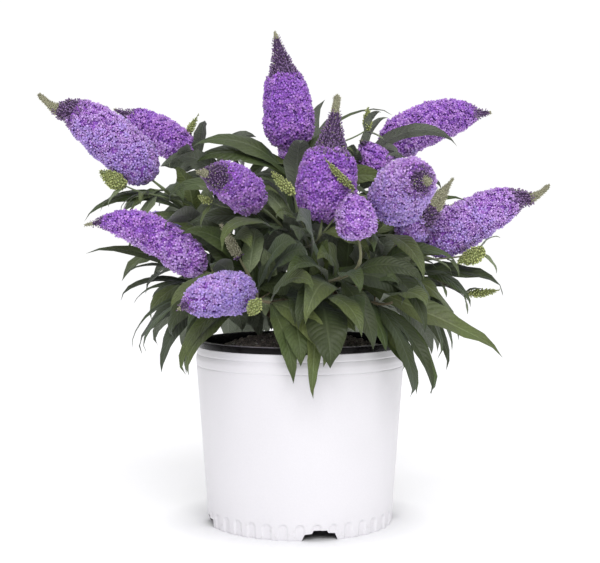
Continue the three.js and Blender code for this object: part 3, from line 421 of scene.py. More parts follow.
class BushColours(PropertyGroup):
    """Base colours of the finishes."""

    shell: colour("White shell", "Outside of the container", 231, 229, 233)
    rim: colour("Black shell", "Rim and inside of the container", 14, 11, 13)
    soil: colour("Potting mix", "Damp peat", 104, 97, 92)
    chip: colour("Bark chip", "Chips in the potting mix", 128, 118, 112)
    grain: colour("White grain", "Porous grains in the potting mix", 168, 166, 160)
    bark: colour("Bark", "Old wood", 122, 104, 84)
    stem: colour("Stem", "Green shoots", 112, 124, 88)
    leaf_deep: colour("Deep leaf", "Leaves inside the crown", 50, 61, 24)
    leaf_mid: colour("Green leaf", "Most leaves", 66, 80, 36)
    leaf_olive: colour("Olive leaf", "Leaves in the sun", 88, 100, 50)
    leaf_young: colour("Young leaf", "Leaves at the shoot tips", 118, 130, 92)
    felt: colour("Leaf felt", "Underside of a leaf", 126, 134, 116)
    violet: colour("Violet floret", "Freshly opened florets", 184, 120, 234)
    magenta: colour("Magenta floret", "Florets in full colour", 206, 148, 244)
    lilac: colour("Lilac floret", "Florets in full light", 216, 172, 250)
    lavender: colour("Lavender floret", "Older florets", 202, 168, 250)
    blue: colour("Blue floret", "Fading florets", 180, 152, 236)
    violet_bud: colour("Violet bud", "Buds about to open", 122, 94, 140)
    felt_bud: colour("Felt bud", "Unripe buds at a head's tip", 184, 182, 152)
    spike_bud: colour("Spike bud", "Buds of the green spikes", 178, 188, 118)
    floor: colour("Floor", "The pale floor", 246, 246, 248)


class BushStudio(PropertyGroup):
    """The stage: camera, floor and lights."""

    camera_distance: size("Camera distance", "From the container's middle to the camera", 1.69, 10)
    camera_height: size("Camera height", "Height of the camera over the floor", .39, 10)
    lens: FloatProperty(name="Lens", description="Focal length", default=76, unit="CAMERA")
    tilt: FloatProperty(
        name="Tilt", description="How far the camera looks down", default=radians(2.37),
        subtype="ANGLE",
    )
    key_power: share("Key light", "Strength of the main light", 1.46, 10)
    fill_power: share("Fill light", "Power of the side light", 1, 10)
    top_power: share("Top light", "Power of the top light", 5, 10)
    surround: share("Surround", "Brightness of the white room", .57, 4)


SETTINGS = {
    "bush_container": BushContainer,
    "bush_growth": BushGrowth,
    "bush_blossom": BushBlossom,
    "bush_colours": BushColours,
    "bush_studio": BushStudio,
}


# ---- Curves and seeded draws ----

class Path:
    """A Bezier curve, read by the share of its length."""

    DIVISIONS = 200
    WAY_STEP = .0005

    def __init__(self, *controls):
        self.controls = [Vector(point) for point in controls]
        places = [self.place(i / self.DIVISIONS) for i in range(self.DIVISIONS + 1)]
        steps = [(b - a).length for a, b in zip(places, places[1:])]
        self.lengths = np.concatenate([[0], np.cumsum(steps)])
        self.length = float(self.lengths[-1])

    def place(self, parameter):
        points = self.controls
        while len(points) > 1:
            points = [a.lerp(b, parameter) for a, b in zip(points, points[1:])]
        return points[0].copy()

    def parameter(self, part):
        grid = np.linspace(0, 1, self.DIVISIONS + 1)
        return float(np.interp(part * self.length, self.lengths, grid))

    def at(self, part):
        return self.place(self.parameter(part))

    def way(self, part):
        middle = self.parameter(part)
        before = self.place(max(0, middle - self.WAY_STEP))
        after = self.place(min(1, middle + self.WAY_STEP))
        return (after - before).normalized()

    def points(self, step):
        count = max(2, round(self.length / step))
        return [self.at(i / count) for i in range(count + 1)]


def bend(start, start_way, end, end_way, reach):
    return Path(start, start + start_way * reach, end - end_way * reach, end)


def seeded_draws(seed):
    """Repeatable draws between 0 and 1, the same as the solids'."""
    state = seed * 7919 + 17

    def draw():
        nonlocal state
        state = state * 48271 % 2147483647
        return state / 2147483647

    return draw


def dealt(span, draws, power=1):
    """A draw from a span, which is its least value and its width."""
    return span[0] + span[1] * draws() ** power


def either_way(spread, draws):
    return (draws() - .5) * spread


def direction(turn, climb):
    return Vector((cos(turn) * cos(climb), sin(turn) * cos(climb), sin(climb)))


def round_about(side, other, turn):
    return side * cos(turn) + other * sin(turn)


def across_path(way):
    """Two directions across a path, anticlockwise when looked at against its way."""
    side = way.cross(UP)
    if side.length < NEARLY_UPRIGHT:
        side = Vector((1, 0, 0))
    side = (side - way * side.dot(way)).normalized()
    return side, way.cross(side)


def even_parts(count):
    return [i / (count - 1) for i in range(count)]


def smooth_step(low, high, value):
    part = np.clip((value - low) / (high - low), 0, 1)
    return part * part * (3 - 2 * part)


# ---- Boughs and stems ----

def wall_radius(z):
    return FOOT_RADIUS + WALL_TAPER * z


def crown_centre(z):
    return Vector((-CROWN_LEAN * (z - SOIL_TOP) / (CROWN_TOP_Z - SOIL_TOP), 0, z))


def crown_ring(z, radius):
    centre = crown_centre(z)
    turns = [2 * pi * (k + .5) / CROWN_SIDES for k in range(CROWN_SIDES)]
    return [centre + Vector((radius * cos(a), radius * sin(a), 0)) for a in turns]


def crown_facet(turn):
    """Centre and outward direction of the facet that a bough grows from."""
    if turn is None:
        return crown_centre(CROWN_TOP_Z), UP.copy()
    side = int(turn // (360 / CROWN_SIDES))
    low = crown_ring(CROWN_SHOULDER_Z, CROWN_RADIUS)
    high = crown_ring(CROWN_TOP_Z, CROWN_TOP_RADIUS)
    low_a, low_b, high_a, high_b = low[side - 1], low[side], high[side - 1], high[side]
    normal = (low_b - low_a).cross(high_a - low_a)
    return (low_a + low_b + high_a + high_b) / 4, normal.normalized()


def bough_path(bough):
    facet, normal = crown_facet(bough.turn)
    tip = Vector(bough.tip)
    way = direction(atan2(tip.y, tip.x), radians(bough.climb))
    return bend(facet + normal * GAP, normal, tip, way, BOUGH_BEND)


def head_way(shoot):
    if shoot.tip:
        return (Vector(shoot.tip) - Vector(shoot.end)).normalized()
    return Vector(shoot.heading).normalized()


def seat_angle(shoot, side, other):
    """The shoots of one bough sit evenly round its tip, in the order of the ways they lead."""
    tip = Vector(BOUGHS[shoot.bough].tip)
    seated = []
    for row in SHOOTS:
        if row.bough == shoot.bough:
            span = Vector(row.end) - tip
            seated.append((atan2(span.dot(other), span.dot(side)), row.name))
    seated.sort()
    step = 2 * pi / len(seated)
    sine = sum(sin(angle - step * i) for i, (angle, _) in enumerate(seated))
    cosine = sum(cos(angle - step * i) for i, (angle, _) in enumerate(seated))
    rank = [name for _, name in seated].index(shoot.name)
    return atan2(sine, cosine) + step * rank


def stem_path(shoot):
    bough = bough_path(BOUGHS[shoot.bough])
    way = bough.way(1)
    side, other = across_path(way)
    angle = seat_angle(shoot, side, other)
    start = bough.at(1) + way * GAP
    start += side * SEAT_RADIUS * cos(angle) + other * SEAT_RADIUS * sin(angle)
    end_way = head_way(shoot)
    end = Vector(shoot.end)
    if shoot.tip:
        end -= end_way * STALK_LENGTH
    return bend(start, way, end, end_way, (end - start).length * STEM_BEND)


def head_path(shoot):
    base, tip = Vector(shoot.end), Vector(shoot.tip)
    middle = (base + tip) / 2
    middle.z += shoot.bow * 2
    return Path(base, middle, tip)


def head_share(part, profile=HEAD_PROFILE):
    stations, shares = zip(*profile)
    return float(np.interp(part, stations, shares))


# ---- Leaves: where they grow ----

@dataclass(frozen=True)
class Leaf:
    """A leaf's root, the way it sets out, its climb there and at its tip, and its size. Its
    shade counts through the leaf finishes, from deep to young."""

    root: tuple
    turn: float
    climb: float
    fall: float
    sway: float
    length: float
    width: float
    hook: float = .5
    curl: float = 0
    shade: int = 1


def leaf_outline(part):
    return sin(pi * part**LEAF_OUTLINE_SKEW) ** LEAF_OUTLINE_FULLNESS


def leaf_midline(leaf):
    """Points and ways along a leaf, its tip hooked down by its hook and aside by its curl."""
    points, ways = [], []
    point = Vector(leaf.root)
    for i in range(LEAF_MIDLINE_STEPS + 1):
        part = i / LEAF_MIDLINE_STEPS
        bent = LEAF_EARLY_BEND * part + (1 - LEAF_EARLY_BEND) * part * part
        tip = max(0, part - LEAF_TIP_FROM) / (1 - LEAF_TIP_FROM)
        turn = leaf.turn + leaf.sway * part + leaf.curl * tip * tip
        climb = leaf.climb + (leaf.fall - leaf.climb) * bent - leaf.hook * tip * tip
        way = direction(turn, climb)
        points.append(point.copy())
        ways.append(way)
        point += way * leaf.length / LEAF_MIDLINE_STEPS
    return points, ways


class Room:
    """The room that leaves keep to: out of the container, the soil and the flower heads."""

    def __init__(self, shoots):
        centres, radii = [], []
        for shoot in shoots:
            path = head_path(shoot)
            for i in range(GUARD_BALLS + 1):
                centres.append(path.at(i / GUARD_BALLS))
                radii.append(shoot.width / 2 * head_share(i / GUARD_BALLS))
        self.centres = np.array(centres)
        self.radii = np.array(radii)

    def holds(self, leaf):
        points, _ = leaf_midline(leaf)
        parts = np.arange(LEAF_MIDLINE_STEPS + 1) / LEAF_MIDLINE_STEPS
        free = parts >= LEAF_FREE_FROM - TINY
        place = np.array(points)[free]
        outline = [leaf_outline(min(part, NEARLY_ALL)) for part in parts[free]]
        half = leaf.width / 2 * np.array(outline)
        x, y, z = place.T
        out = np.hypot(x, y)
        over_soil = (out < RIM_LIP_INNER_RADIUS - INNER_ROOM) & (z > SOIL_TOP + SOIL_ROOM)
        past_wall = out > wall_radius(SHOULDER_Z) + WALL_ROOM
        over_rim = z > RIM_TOP + RIM_ROOM
        inside = (np.abs(x) < REACH_X) & (np.abs(y) < REACH_Y) & (z < REACH_TOP) & (z > REACH_FOOT)
        if not np.all((over_soil | past_wall | over_rim) & inside):
            return False
        for centre, radius in CLEARINGS:
            if np.any(np.linalg.norm(place - np.array(centre), axis=1) < radius + half):
                return False
        gaps = np.linalg.norm(place[:, None] - self.centres[None], axis=2) - self.radii[None]
        return bool(np.all(gaps > (half * HEAD_ROOM_PER_WIDTH + HEAD_ROOM)[:, None]))


def leaf_tries(leaf, turns, hook, curl):
    for turn, lift in turns:
        yield replace(
            leaf, turn=leaf.turn + turn, climb=leaf.climb + lift, fall=leaf.fall + lift,
            hook=leaf.hook * hook * 2, curl=curl,
        )


def aimed_leaf(root, tip, full_arch, width):
    span = tip - root
    slope = atan2(span.z, hypot(span.x, span.y))
    arch = min(full_arch, STEEPEST_FALL + slope)
    length = span.length * arch / sin(arch)
    turn = atan2(span.y, span.x)
    return Leaf(tuple(root), turn, slope + arch, slope - arch, 0, length, width)


def aimed_tries(row, nodes, hook, curl):
    """Leaves whose tip comes to a set place, from the stem points that suit the length best.

    A sixth value in the row is an arch to try before the usual ones.
    """
    tip, (chord, width), arches = Vector(row[:3]), row[3:5], row[5:] + AIM_ARCHES
    nearest = sorted(nodes, key=lambda node: abs((node["point"] - tip).length - chord))
    for arch in arches:
        for node in nearest[:AIM_NODES]:
            aim = tip.copy()
            for _ in range(AIM_ROUNDS):
                leaf = replace(aimed_leaf(node["point"], aim, arch, width), hook=hook, curl=curl)
                aim += tip - leaf_midline(leaf)[0][-1]
            yield leaf


def stem_nodes(path, draws):
    """The stem points that bear leaves, each pair a quarter turn from the last."""
    nodes = []
    first_turn = draws() * pi
    along = NODE_START
    while along < path.length - NODE_END_ROOM:
        part = along / path.length
        pair_turn = first_turn + len(nodes) * pi / 2
        nodes.append({
            "part": part, "pair_turn": pair_turn, "point": path.at(part), "way": path.way(part),
        })
        along += NODE_SPACING * dealt(NODE_GAPS, draws)
    return nodes


def leaf_pair(node, length_wanted, width_share, draws):
    side, other = across_path(node["way"])
    pair = []
    for which in range(2):
        around = node["pair_turn"] + which * pi + either_way(PAIR_SPREAD, draws)
        out = round_about(side, other, around)
        way = round_about(out, node["way"], dealt(LEAF_LEAN, draws))
        length = length_wanted * dealt(LEAF_LENGTHS, draws)
        climb = asin(max(-STEEPEST_CLIMB, min(STEEPEST_CLIMB, way.z)))
        fall = max(-STEEPEST_FALL, climb - dealt(LEAF_DROOP, draws))
        pair.append(Leaf(
            root=tuple(node["point"]), turn=atan2(way.y, way.x), climb=climb, fall=fall,
            sway=either_way(LEAF_SWAY, draws), length=length,
            width=length * width_share * dealt(LEAF_WIDTHS, draws),
        ))
    return pair


def side_twig(row, nodes, width_share, draws):
    """A side twig: its own stem, its leaves and its green bud spike."""
    end, (spike, leaf_size) = Vector(row[:3]), row[3:5]
    below = [node for node in nodes if (node["point"] - end).length < TWIG_LONGEST]
    root = below[0] if below else nodes[-1]
    away = (end - root["point"]).normalized()
    way = (away + root["way"] * TWIG_FOLLOWS_STEM).normalized()
    end_way = (away + UP * TWIG_LIFT).normalized()
    path = bend(root["point"], way, end, end_way, (end - root["point"]).length * TWIG_BEND)
    leaves = []
    if leaf_size > 0:
        for part, turn in TWIG_PAIRS:
            node = {"point": path.at(part), "way": path.way(part), "pair_turn": turn}
            pair = leaf_pair(node, leaf_size, width_share, draws)
            leaves += [replace(leaf, width=leaf.width * TWIG_LEAF_NARROWING) for leaf in pair]
    spike_way = Vector(row[5:8]).normalized() if row[5:] else end_way
    girth = row[8] if row[5:] else 1
    return {"path": path, "leaves": leaves, "spike": (end, spike_way, spike, girth)}


SPROUT_PAIRS = ((.5, .4), (.98, 1.97))
SPROUT_LEAF_NARROWING = 1.1
SPROUT_LENGTHS = (.01, .024)
SPROUT_LEAF_SIZES = (.7, .6)
SPROUT_TURN = .5
SPROUT_LIFT = .003
SPROUT_OUT, SPROUT_ALONG, SPROUT_TIP_LIFT = .8, .6, .5
SPROUT_DROOP = .55
SPROUT_HOOK = .3
YOUNG_FROM = .8
MOST_FALLEN = .85
THINNED_BY_AIMED = 1.6
TIP_HOOKS = (.25, 1.5)
TIP_CURL = 1.6
LEAF_TURN = .9
LEAF_GROWTH = (.8, .45)
SHADE_BY_SHOOT, SHADE_BY_LEAF = 1.1, 1.9
LOOKS_SEED = 1000


def sprout(node, which, leaf_size, width_share, draws):
    """A short twig in a leaf's axil, with two pairs of small leaves."""
    side, other = across_path(node["way"])
    around = node["pair_turn"] + which * pi + either_way(SPROUT_TURN, draws)
    way = (round_about(side, other, around) * SPROUT_OUT + node["way"] * SPROUT_ALONG).normalized()
    length = dealt(SPROUT_LENGTHS, draws)
    end = node["point"] + way * length + UP * SPROUT_LIFT
    end_way = (way + UP * SPROUT_TIP_LIFT).normalized()
    path = bend(node["point"], way, end, end_way, length * TWIG_BEND)
    leaves = []
    for part, turn in SPROUT_PAIRS:
        point = {"point": path.at(part), "way": path.way(part), "pair_turn": turn + around}
        size_there = leaf_size * dealt(SPROUT_LEAF_SIZES, draws)
        for leaf in leaf_pair(point, size_there, width_share, draws):
            fall = leaf.climb - SPROUT_DROOP * (leaf.climb - leaf.fall)
            width = leaf.width * SPROUT_LEAF_NARROWING
            leaves.append(replace(leaf, fall=fall, width=width, hook=SPROUT_HOOK))
    return path, leaves


@lru_cache(maxsize=1)
def grow_bush(leaf_length, leaf_width, sprout_leaf, sprout_chance, thinning):
    """Plans all that the shoots bear: stems, twigs, bud spikes, leaves and sprouts."""
    room = Room([shoot for shoot in SHOOTS if shoot.tip])
    bush = {"stems": [], "twigs": [], "spikes": [], "leaves": [], "sprout_leaves": []}

    def settle(kind, shade, tries, *what):
        """Keeps the first try with room. Draws set its tip's hook and curl, and its shade."""
        hook, curl, shade_draw = dealt(TIP_HOOKS, looks, 2), either_way(TIP_CURL, looks), looks()
        for leaf in tries(*what, hook, curl):
            if room.holds(leaf):
                bush[kind].append(replace(leaf, shade=shade(shade_draw)))
                return

    for shoot in SHOOTS:
        draws = seeded_draws(shoot.seed)
        looks = seeded_draws(shoot.seed + LOOKS_SEED)
        path = stem_path(shoot)
        nodes = stem_nodes(path, draws)
        twigs = [side_twig(row, nodes, leaf_width, draws) for row in shoot.twigs]
        shortening = LEAF_SHORTENING_BELOW_HEAD if shoot.tip else LEAF_SHORTENING_AT_TIP
        tone = looks()
        bare = min(MOST_FALLEN, thinning * (1 + THINNED_BY_AIMED * len(shoot.leaves)))
        bush["stems"].append((path, [node["part"] for node in nodes]))

        def mature(draw, tone=tone):
            return min(2, int(SHADE_BY_SHOOT * tone + SHADE_BY_LEAF * draw))

        for row in (*shoot.leaves, *FINER_LEAVES.get(shoot.name, ())):
            settle("leaves", mature, aimed_tries, row, nodes)
        for twig in twigs:
            bush["twigs"].append(twig["path"])
            if twig["spike"][2] > 0:
                bush["spikes"].append(twig["spike"])
            for leaf in twig["leaves"]:
                settle("leaves", lambda draw: 2 + int(draw > .4), leaf_tries, leaf, LEAF_TRIES)
        for node in nodes:
            length = leaf_length * (1 - shortening * node["part"] ** 2)
            young = node["part"] > YOUNG_FROM
            shade = (lambda draw: 2 + int(draw > .5)) if young else mature
            for leaf in leaf_pair(node, length, leaf_width, draws):
                turned, grown_by = either_way(LEAF_TURN, looks), dealt(LEAF_GROWTH, looks)
                leaf = replace(leaf, turn=leaf.turn + turned, length=leaf.length * grown_by)
                if looks() >= bare:
                    settle("leaves", shade, leaf_tries, leaf, LEAF_TRIES)
        for node in nodes:
            for which in range(2):
                if looks() > sprout_chance * (1 - bare):
                    continue
                stalk, leaves = sprout(node, which, sprout_leaf, leaf_width, looks)
                bush["twigs"].append(stalk)
                for leaf in leaves:
                    settle("sprout_leaves", lambda draw: 1 + int(2.6 * draw),
                           leaf_tries, leaf, LEAF_TRIES[:1])
    return bush


def grown(context):
    growth = context.scene.bush_growth
    return grow_bush(
        growth.leaf_length, growth.leaf_width, growth.sprout_leaf, growth.sprout_chance,
        growth.thinning,
    )


# ---- Leaves: their blades ----

FULL_PARTS = (.035, .083, .167, .25, .333, .417, .5, .583, .667, .75, .833, .917, .965)
SMALL_PARTS = (.05, .15, .3, .45, .6, .75, .88, .96)
BLADE_POINTS_ACROSS = 5
BLADE_EDGE_ANGLE = 75
PETIOLE_PART = .05
PETIOLE_HALF_WIDTH = .0009
PETIOLE_THICKNESS = .0015
STALK_PART = .12
RIB_HEIGHT = .001
RIB_HALF_WIDTH = .16
BLADE_ROLL = 1.1
BLADE_TWIST, BLADE_TWISTS = .16, 1.3
BLADE_FOLD = (.1, .34)
BLADE_RECURVE = (0, .3)
BLADE_RIPPLE = (.07, .16)
BLADE_RIPPLES = (2.2, 2.2)
EDGE_WAVE, EDGE_WAVES = .035, 5
FOLD_NARROWING = .3


def blade_half_width(leaf, parts):
    blade = np.clip((parts - PETIOLE_PART) / (1 - PETIOLE_PART), 0, 1)
    outline = np.sin(np.pi * blade**.8) ** .86 * (1 - .35 * smooth_step(.82, 1, blade))
    return np.hypot(PETIOLE_HALF_WIDTH * (1 - parts), leaf.width / 2 * outline)


def leaf_side(leaf):
    """Which way the blade's right edge lies. Its face turns up and out from the plant, and
    towards the plant's front or back, whichever is nearer."""
    facing = Vector((leaf.root[0], leaf.root[1], 0)) / LEAF_FACE_FREE_RADIUS
    facing = facing / max(1, facing.length) * LEAF_FACE_OUT + UP
    facing.y += copysign(LEAF_FACE_ALONG, leaf.root[1] - LEAF_FACE_TURNS_AT)
    chord = direction(leaf.turn, (leaf.climb + leaf.fall) / 2)
    return chord.cross(facing).normalized()


def blade_skin(leaf, parts, thickness, draws):
    """Points of a closed blade: root point, rings of upper and lower skin, tip point. Its map
    runs across the blade, and from its root to its tip."""
    points, ways = (np.array(rows) for rows in leaf_midline(leaf))
    grid = np.arange(LEAF_MIDLINE_STEPS + 1) / LEAF_MIDLINE_STEPS
    parts = np.array(parts)
    centre, way = (
        np.stack([np.interp(parts, grid, rows[:, k]) for k in range(3)], 1) for rows in (points, ways)
    )
    way /= np.linalg.norm(way, axis=1, keepdims=True)
    edge = np.array(leaf_side(leaf))
    side = edge - way * (way @ edge)[:, None]
    side /= np.linalg.norm(side, axis=1, keepdims=True)
    top = np.cross(side, way)

    roll = either_way(BLADE_ROLL, draws) * parts
    roll = roll + BLADE_TWIST * np.sin(2 * np.pi * (BLADE_TWISTS * parts + draws()))
    cosine, sine = np.cos(roll)[:, None], np.sin(roll)[:, None]
    side, top = side * cosine + top * sine, top * cosine - side * sine

    fold = dealt(BLADE_FOLD, draws, 1.5)
    recurve = dealt(BLADE_RECURVE, draws)
    ripple = dealt(BLADE_RIPPLE, draws, 1.5)
    ripples = dealt(BLADE_RIPPLES, draws)
    upper = np.linspace(-1, 1, BLADE_POINTS_ACROSS)
    lower = upper[-2:0:-1]
    u = np.concatenate([upper, lower])[None, :]
    half = blade_half_width(leaf, parts)
    half = (half * (1 + EDGE_WAVE * np.sin(2 * np.pi * (EDGE_WAVES * parts + draws()))))[:, None]
    phase = np.where(u < 0, draws(), draws())
    reach, parts = np.abs(u), parts[:, None]
    lift = fold * reach - recurve * reach**3
    lift = lift + ripple * reach**2 * np.sin(2 * np.pi * (ripples * parts + phase))
    stalk = np.clip(1 - parts / STALK_PART, 0, 1)
    thick = thickness + (PETIOLE_THICKNESS - thickness) * stalk
    rib = RIB_HEIGHT * (1 - parts) ** .7 * np.exp(-((u / RIB_HALF_WIDTH) ** 2))
    under = np.concatenate([np.zeros(len(upper)), np.ones(len(lower))])[None, :]
    body = -(thick * (1 - reach**2) + rib) * under
    out = u * half * (1 - FOLD_NARROWING * fold**2)
    place = centre[:, None] + side[:, None] * out[..., None]
    place += top[:, None] * (half * lift * (1 - stalk) + body)[..., None]

    root = centre[0] - way[0] * leaf.length * parts[0]
    skin = np.concatenate([root[None], place.reshape(-1, 3), points[-1][None]])
    ring_map = np.stack(np.broadcast_arrays(u / 2 + .5, parts), -1).reshape(-1, 2)
    return skin, np.concatenate([[[.5, 0.0]], ring_map, [[.5, 1.0]]])


def blade_faces(rings, ring_size, upper):
    """Faces of one blade over the points of blade_skin, and which of them are underside. Both
    sides are cut along the same diagonals, so that neither comes through the other."""
    sides, under = [], []
    for k, (a, b, c, d) in enumerate(tube_faces(1, rings, ring_size)):
        below = k % ring_size >= upper - 1
        sides += [(a, b, d), (b, c, d)] if below else [(a, b, c), (a, c, d)]
        under += [below] * 2
    last = 1 + rings * ring_size
    for k in range(ring_size):
        after = (k + 1) % ring_size
        sides += [(0, 1 + after, 1 + k), (last, last - ring_size + k, last - ring_size + after)]
        under += [k >= upper - 1] * 2
    return np.array(sides), np.array(under)


def leaves_object(name, leaves, parts, thickness, finishes, seed):
    """One joined piece of many blades. Each blade's upper side has its own shade."""
    ring_size = 2 * BLADE_POINTS_ACROSS - 2
    blade, under = blade_faces(len(parts), ring_size, BLADE_POINTS_ACROSS)
    draws = seeded_draws(seed)
    skins, maps = zip(*(blade_skin(leaf, parts, thickness, draws) for leaf in leaves))
    starts = np.arange(len(leaves)) * (2 + len(parts) * ring_size)
    faces = (starts[:, None, None] + blade).reshape(-1, 3)
    slots = [np.where(under, len(finishes) - 1, leaf.shade) for leaf in leaves]
    piece = mesh_object(name, np.concatenate(skins), faces, finishes=finishes)
    mesh = piece.data
    mesh.polygons.foreach_set("material_index", np.concatenate(slots).astype(np.int32))
    corner_points = np.empty(len(mesh.loops), np.int32)
    mesh.loops.foreach_get("vertex_index", corner_points)
    blade_map = mesh.uv_layers.new(name="Blade")
    blade_map.data.foreach_set("uv", np.concatenate(maps)[corner_points].astype(np.float32).ravel())
    shade_with_edges(piece, BLADE_EDGE_ANGLE)
    return piece


# ---- Pieces ----

def linked(name, data):
    piece = bpy.data.objects.new(name, data)
    bpy.context.scene.collection.objects.link(piece)
    return piece


def mesh_object(name, points, faces, edges=(), finishes=(), values=None, smooth=True):
    """A new piece with these finishes. Its points keep the values as attributes."""
    mesh = bpy.data.meshes.new(name)
    mesh.from_pydata(np.array(points).tolist(), edges, [list(map(int, face)) for face in faces])
    for finish_name in finishes:
        mesh.materials.append(finish(finish_name))
    for key, rows in (values or {}).items():
        rows = np.asarray(rows, np.float32)
        kind, field = ("FLOAT", "value") if rows.ndim == 1 else ("FLOAT_VECTOR", "vector")
        mesh.attributes.new(key, kind, "POINT").data.foreach_set(field, rows.ravel())
    if smooth:
        mesh.shade_smooth()
    return linked(name, mesh)


def shade_with_edges(piece, degrees):
    piece.data.shade_smooth()
    piece.data.set_sharp_from_angle(angle=radians(degrees))


def tube_faces(start, rings, count, looped=False):
    """Four-sided faces between rings of so many points, the first of them numbered start."""
    faces = []
    for i in range(rings if looped else rings - 1):
        low, high = start + i * count, start + (i + 1) % rings * count
        for k in range(count):
            after = (k + 1) % count
            faces.append((low + k, low + after, high + after, high + k))
    return faces


def discard(*pieces):
    for piece in pieces:
        mesh = piece.data
        bpy.data.objects.remove(piece)
        bpy.data.meshes.remove(mesh)


def lines_object(name, lines):
    """Edges along each line of points, with the limb's radius at each point."""
    points, edges, radii = [], [], []
    for line, widths in lines:
        edges += [(len(points) + i, len(points) + i + 1) for i in range(len(line) - 1)]
        points += line
        radii += widths
    return mesh_object(name, points, [], edges, values={"radius": radii}, smooth=False)


# ---- Node trees ----

class Wire:
    """An output in a node tree. Its node's other outputs are read by name or number. Sums,
    differences and products of wires add the nodes that work them out."""

    def __init__(self, tree, socket):
        self.tree = tree
        self.socket = socket

    def __getitem__(self, key):
        return Wire(self.tree, self.socket.node.outputs[key])

    def __add__(self, other):
        return self.tree.math("ADD", self, other)

    def __sub__(self, other):
        return self.tree.math("SUBTRACT", self, other)

    def __rsub__(self, other):
        return self.tree.math("SUBTRACT", other, self)

    def __mul__(self, other):
        return self.tree.math("MULTIPLY", self, other)


class Tree:
    """Adds nodes to a tree. An input is a value, or the wire that leads to it."""

    def __init__(self, tree):
        self.tree = tree

    def add(self, kind, inputs=(), **settings):
        node = self.tree.nodes.new(kind)
        for name, value in settings.items():
            setattr(node, name, value)
        self.feed(node, inputs)
        return Wire(self, node.outputs[0]) if node.outputs else None

    def feed(self, node, inputs):
        """Sets a node's inputs, given by name or in order."""
        for key, value in inputs.items() if isinstance(inputs, dict) else enumerate(inputs):
            if isinstance(value, Wire):
                self.tree.links.new(value.socket, node.inputs[key])
            else:
                node.inputs[key].default_value = value

    def math(self, operation, *values):
        return self.add("ShaderNodeMath", values, operation=operation)

    def vectors(self, operation, *values):
        return self.add("ShaderNodeVectorMath", values, operation=operation)

    def span(self, value, low, high, to_low=0.0, to_high=1.0):
        return self.add("ShaderNodeMapRange", [value, low, high, to_low, to_high])

    def noise(self, vector, scale, detail=2.0, roughness=.5):
        inputs = {"Vector": vector, "Scale": scale, "Detail": detail, "Roughness": roughness}
        return self.add("ShaderNodeTexNoise", inputs)["Fac"]

    def mix(self, factor, first, second):
        return self.add("ShaderNodeMix", {0: factor, 6: first, 7: second}, data_type="RGBA")[2]

    def attribute(self, name, kind="FLOAT"):
        return self.add("GeometryNodeInputNamedAttribute", {"Name": name}, data_type=kind)

    def random(self, low, high, seed):
        inputs = {2: low, 3: high, "Seed": seed}
        return self.add("FunctionNodeRandomValue", inputs, data_type="FLOAT")[1]

    def smooth_skin(self, skin, material):
        """The end of a tree: the skin shaded smooth, as one mesh of one material."""
        smooth = self.add("GeometryNodeSetShadeSmooth", {"Geometry": skin})
        whole = self.add("GeometryNodeRealizeInstances", {"Geometry": smooth})
        return self.add("GeometryNodeSetMaterial", {"Geometry": whole, "Material": material})


def group_tree(name, kind, inputs, outputs, fill):
    """The node group of that name, made the first time. inputs and outputs name its sockets,
    each with its kind or its default, and fill wires the outputs up to the inputs."""
    tree = bpy.data.node_groups.get(name)
    if tree:
        return tree
    tree = bpy.data.node_groups.new(name, kind)
    for in_out, sockets in (("INPUT", inputs), ("OUTPUT", outputs)):
        for socket_name, value in sockets.items():
            word = {int: "Int", float: "Float"}.get(type(value), value)
            socket = tree.interface.new_socket(
                socket_name, in_out=in_out, socket_type=f"NodeSocket{word}",
            )
            if word != value:
                socket.default_value = value
    make = Tree(tree)
    make.add("NodeGroupOutput", fill(make, make.add("NodeGroupInput")))
    return tree


def limb_tree():
    """Skins of round limbs along the edges of a mesh, as thick as its radius attribute says."""
    def fill(make, given):
        ring = {"Resolution": given["Sides"], "Radius": 1.0}
        skins = make.add("GeometryNodeCurveToMesh", {
            "Curve": make.add("GeometryNodeMeshToCurve", {"Mesh": given["Lines"]}),
            "Profile Curve": make.add("GeometryNodeCurvePrimitiveCircle", ring),
            "Scale": make.attribute("radius"), "Fill Caps": True,
        })
        return {"Skins": make.smooth_skin(skins, given["Finish"])}

    inputs = {"Lines": "Geometry", "Sides": 6, "Finish": "Material"}
    return group_tree("Limb skins", "GeometryNodeTree", inputs, {"Skins": "Geometry"}, fill)


def bark_tree():
    """Raises ridges and lumps of bark on a skin."""
    def fill(make, given):
        place = make.add("GeometryNodeInputPosition")
        stretched = make.vectors("MULTIPLY", place, (1, 1, .25))
        ridges = make.span(make.noise(stretched, given["Ridge Scale"], 3.0, .6), .35, .65, -.5, .5)
        lumps = make.span(make.noise(place, 90.0, 1.0), .3, .7, -.5, .5)
        height = (ridges + lumps) * given["Relief"]
        normal = make.add("GeometryNodeInputNormal")
        offset = make.add("ShaderNodeVectorMath", {0: normal, "Scale": height}, operation="SCALE")
        shaped = {"Geometry": given["Skin"], "Offset": offset}
        shaped = make.add("GeometryNodeSetPosition", shaped)
        return {"Bark": make.smooth_skin(shaped, given["Finish"])}

    inputs = {"Skin": "Geometry", "Relief": .001, "Ridge Scale": 240.0, "Finish": "Material"}
    return group_tree("Bark relief", "GeometryNodeTree", inputs, {"Bark": "Geometry"}, fill)


MOST_COPIES_PER_AREA = 400000.0


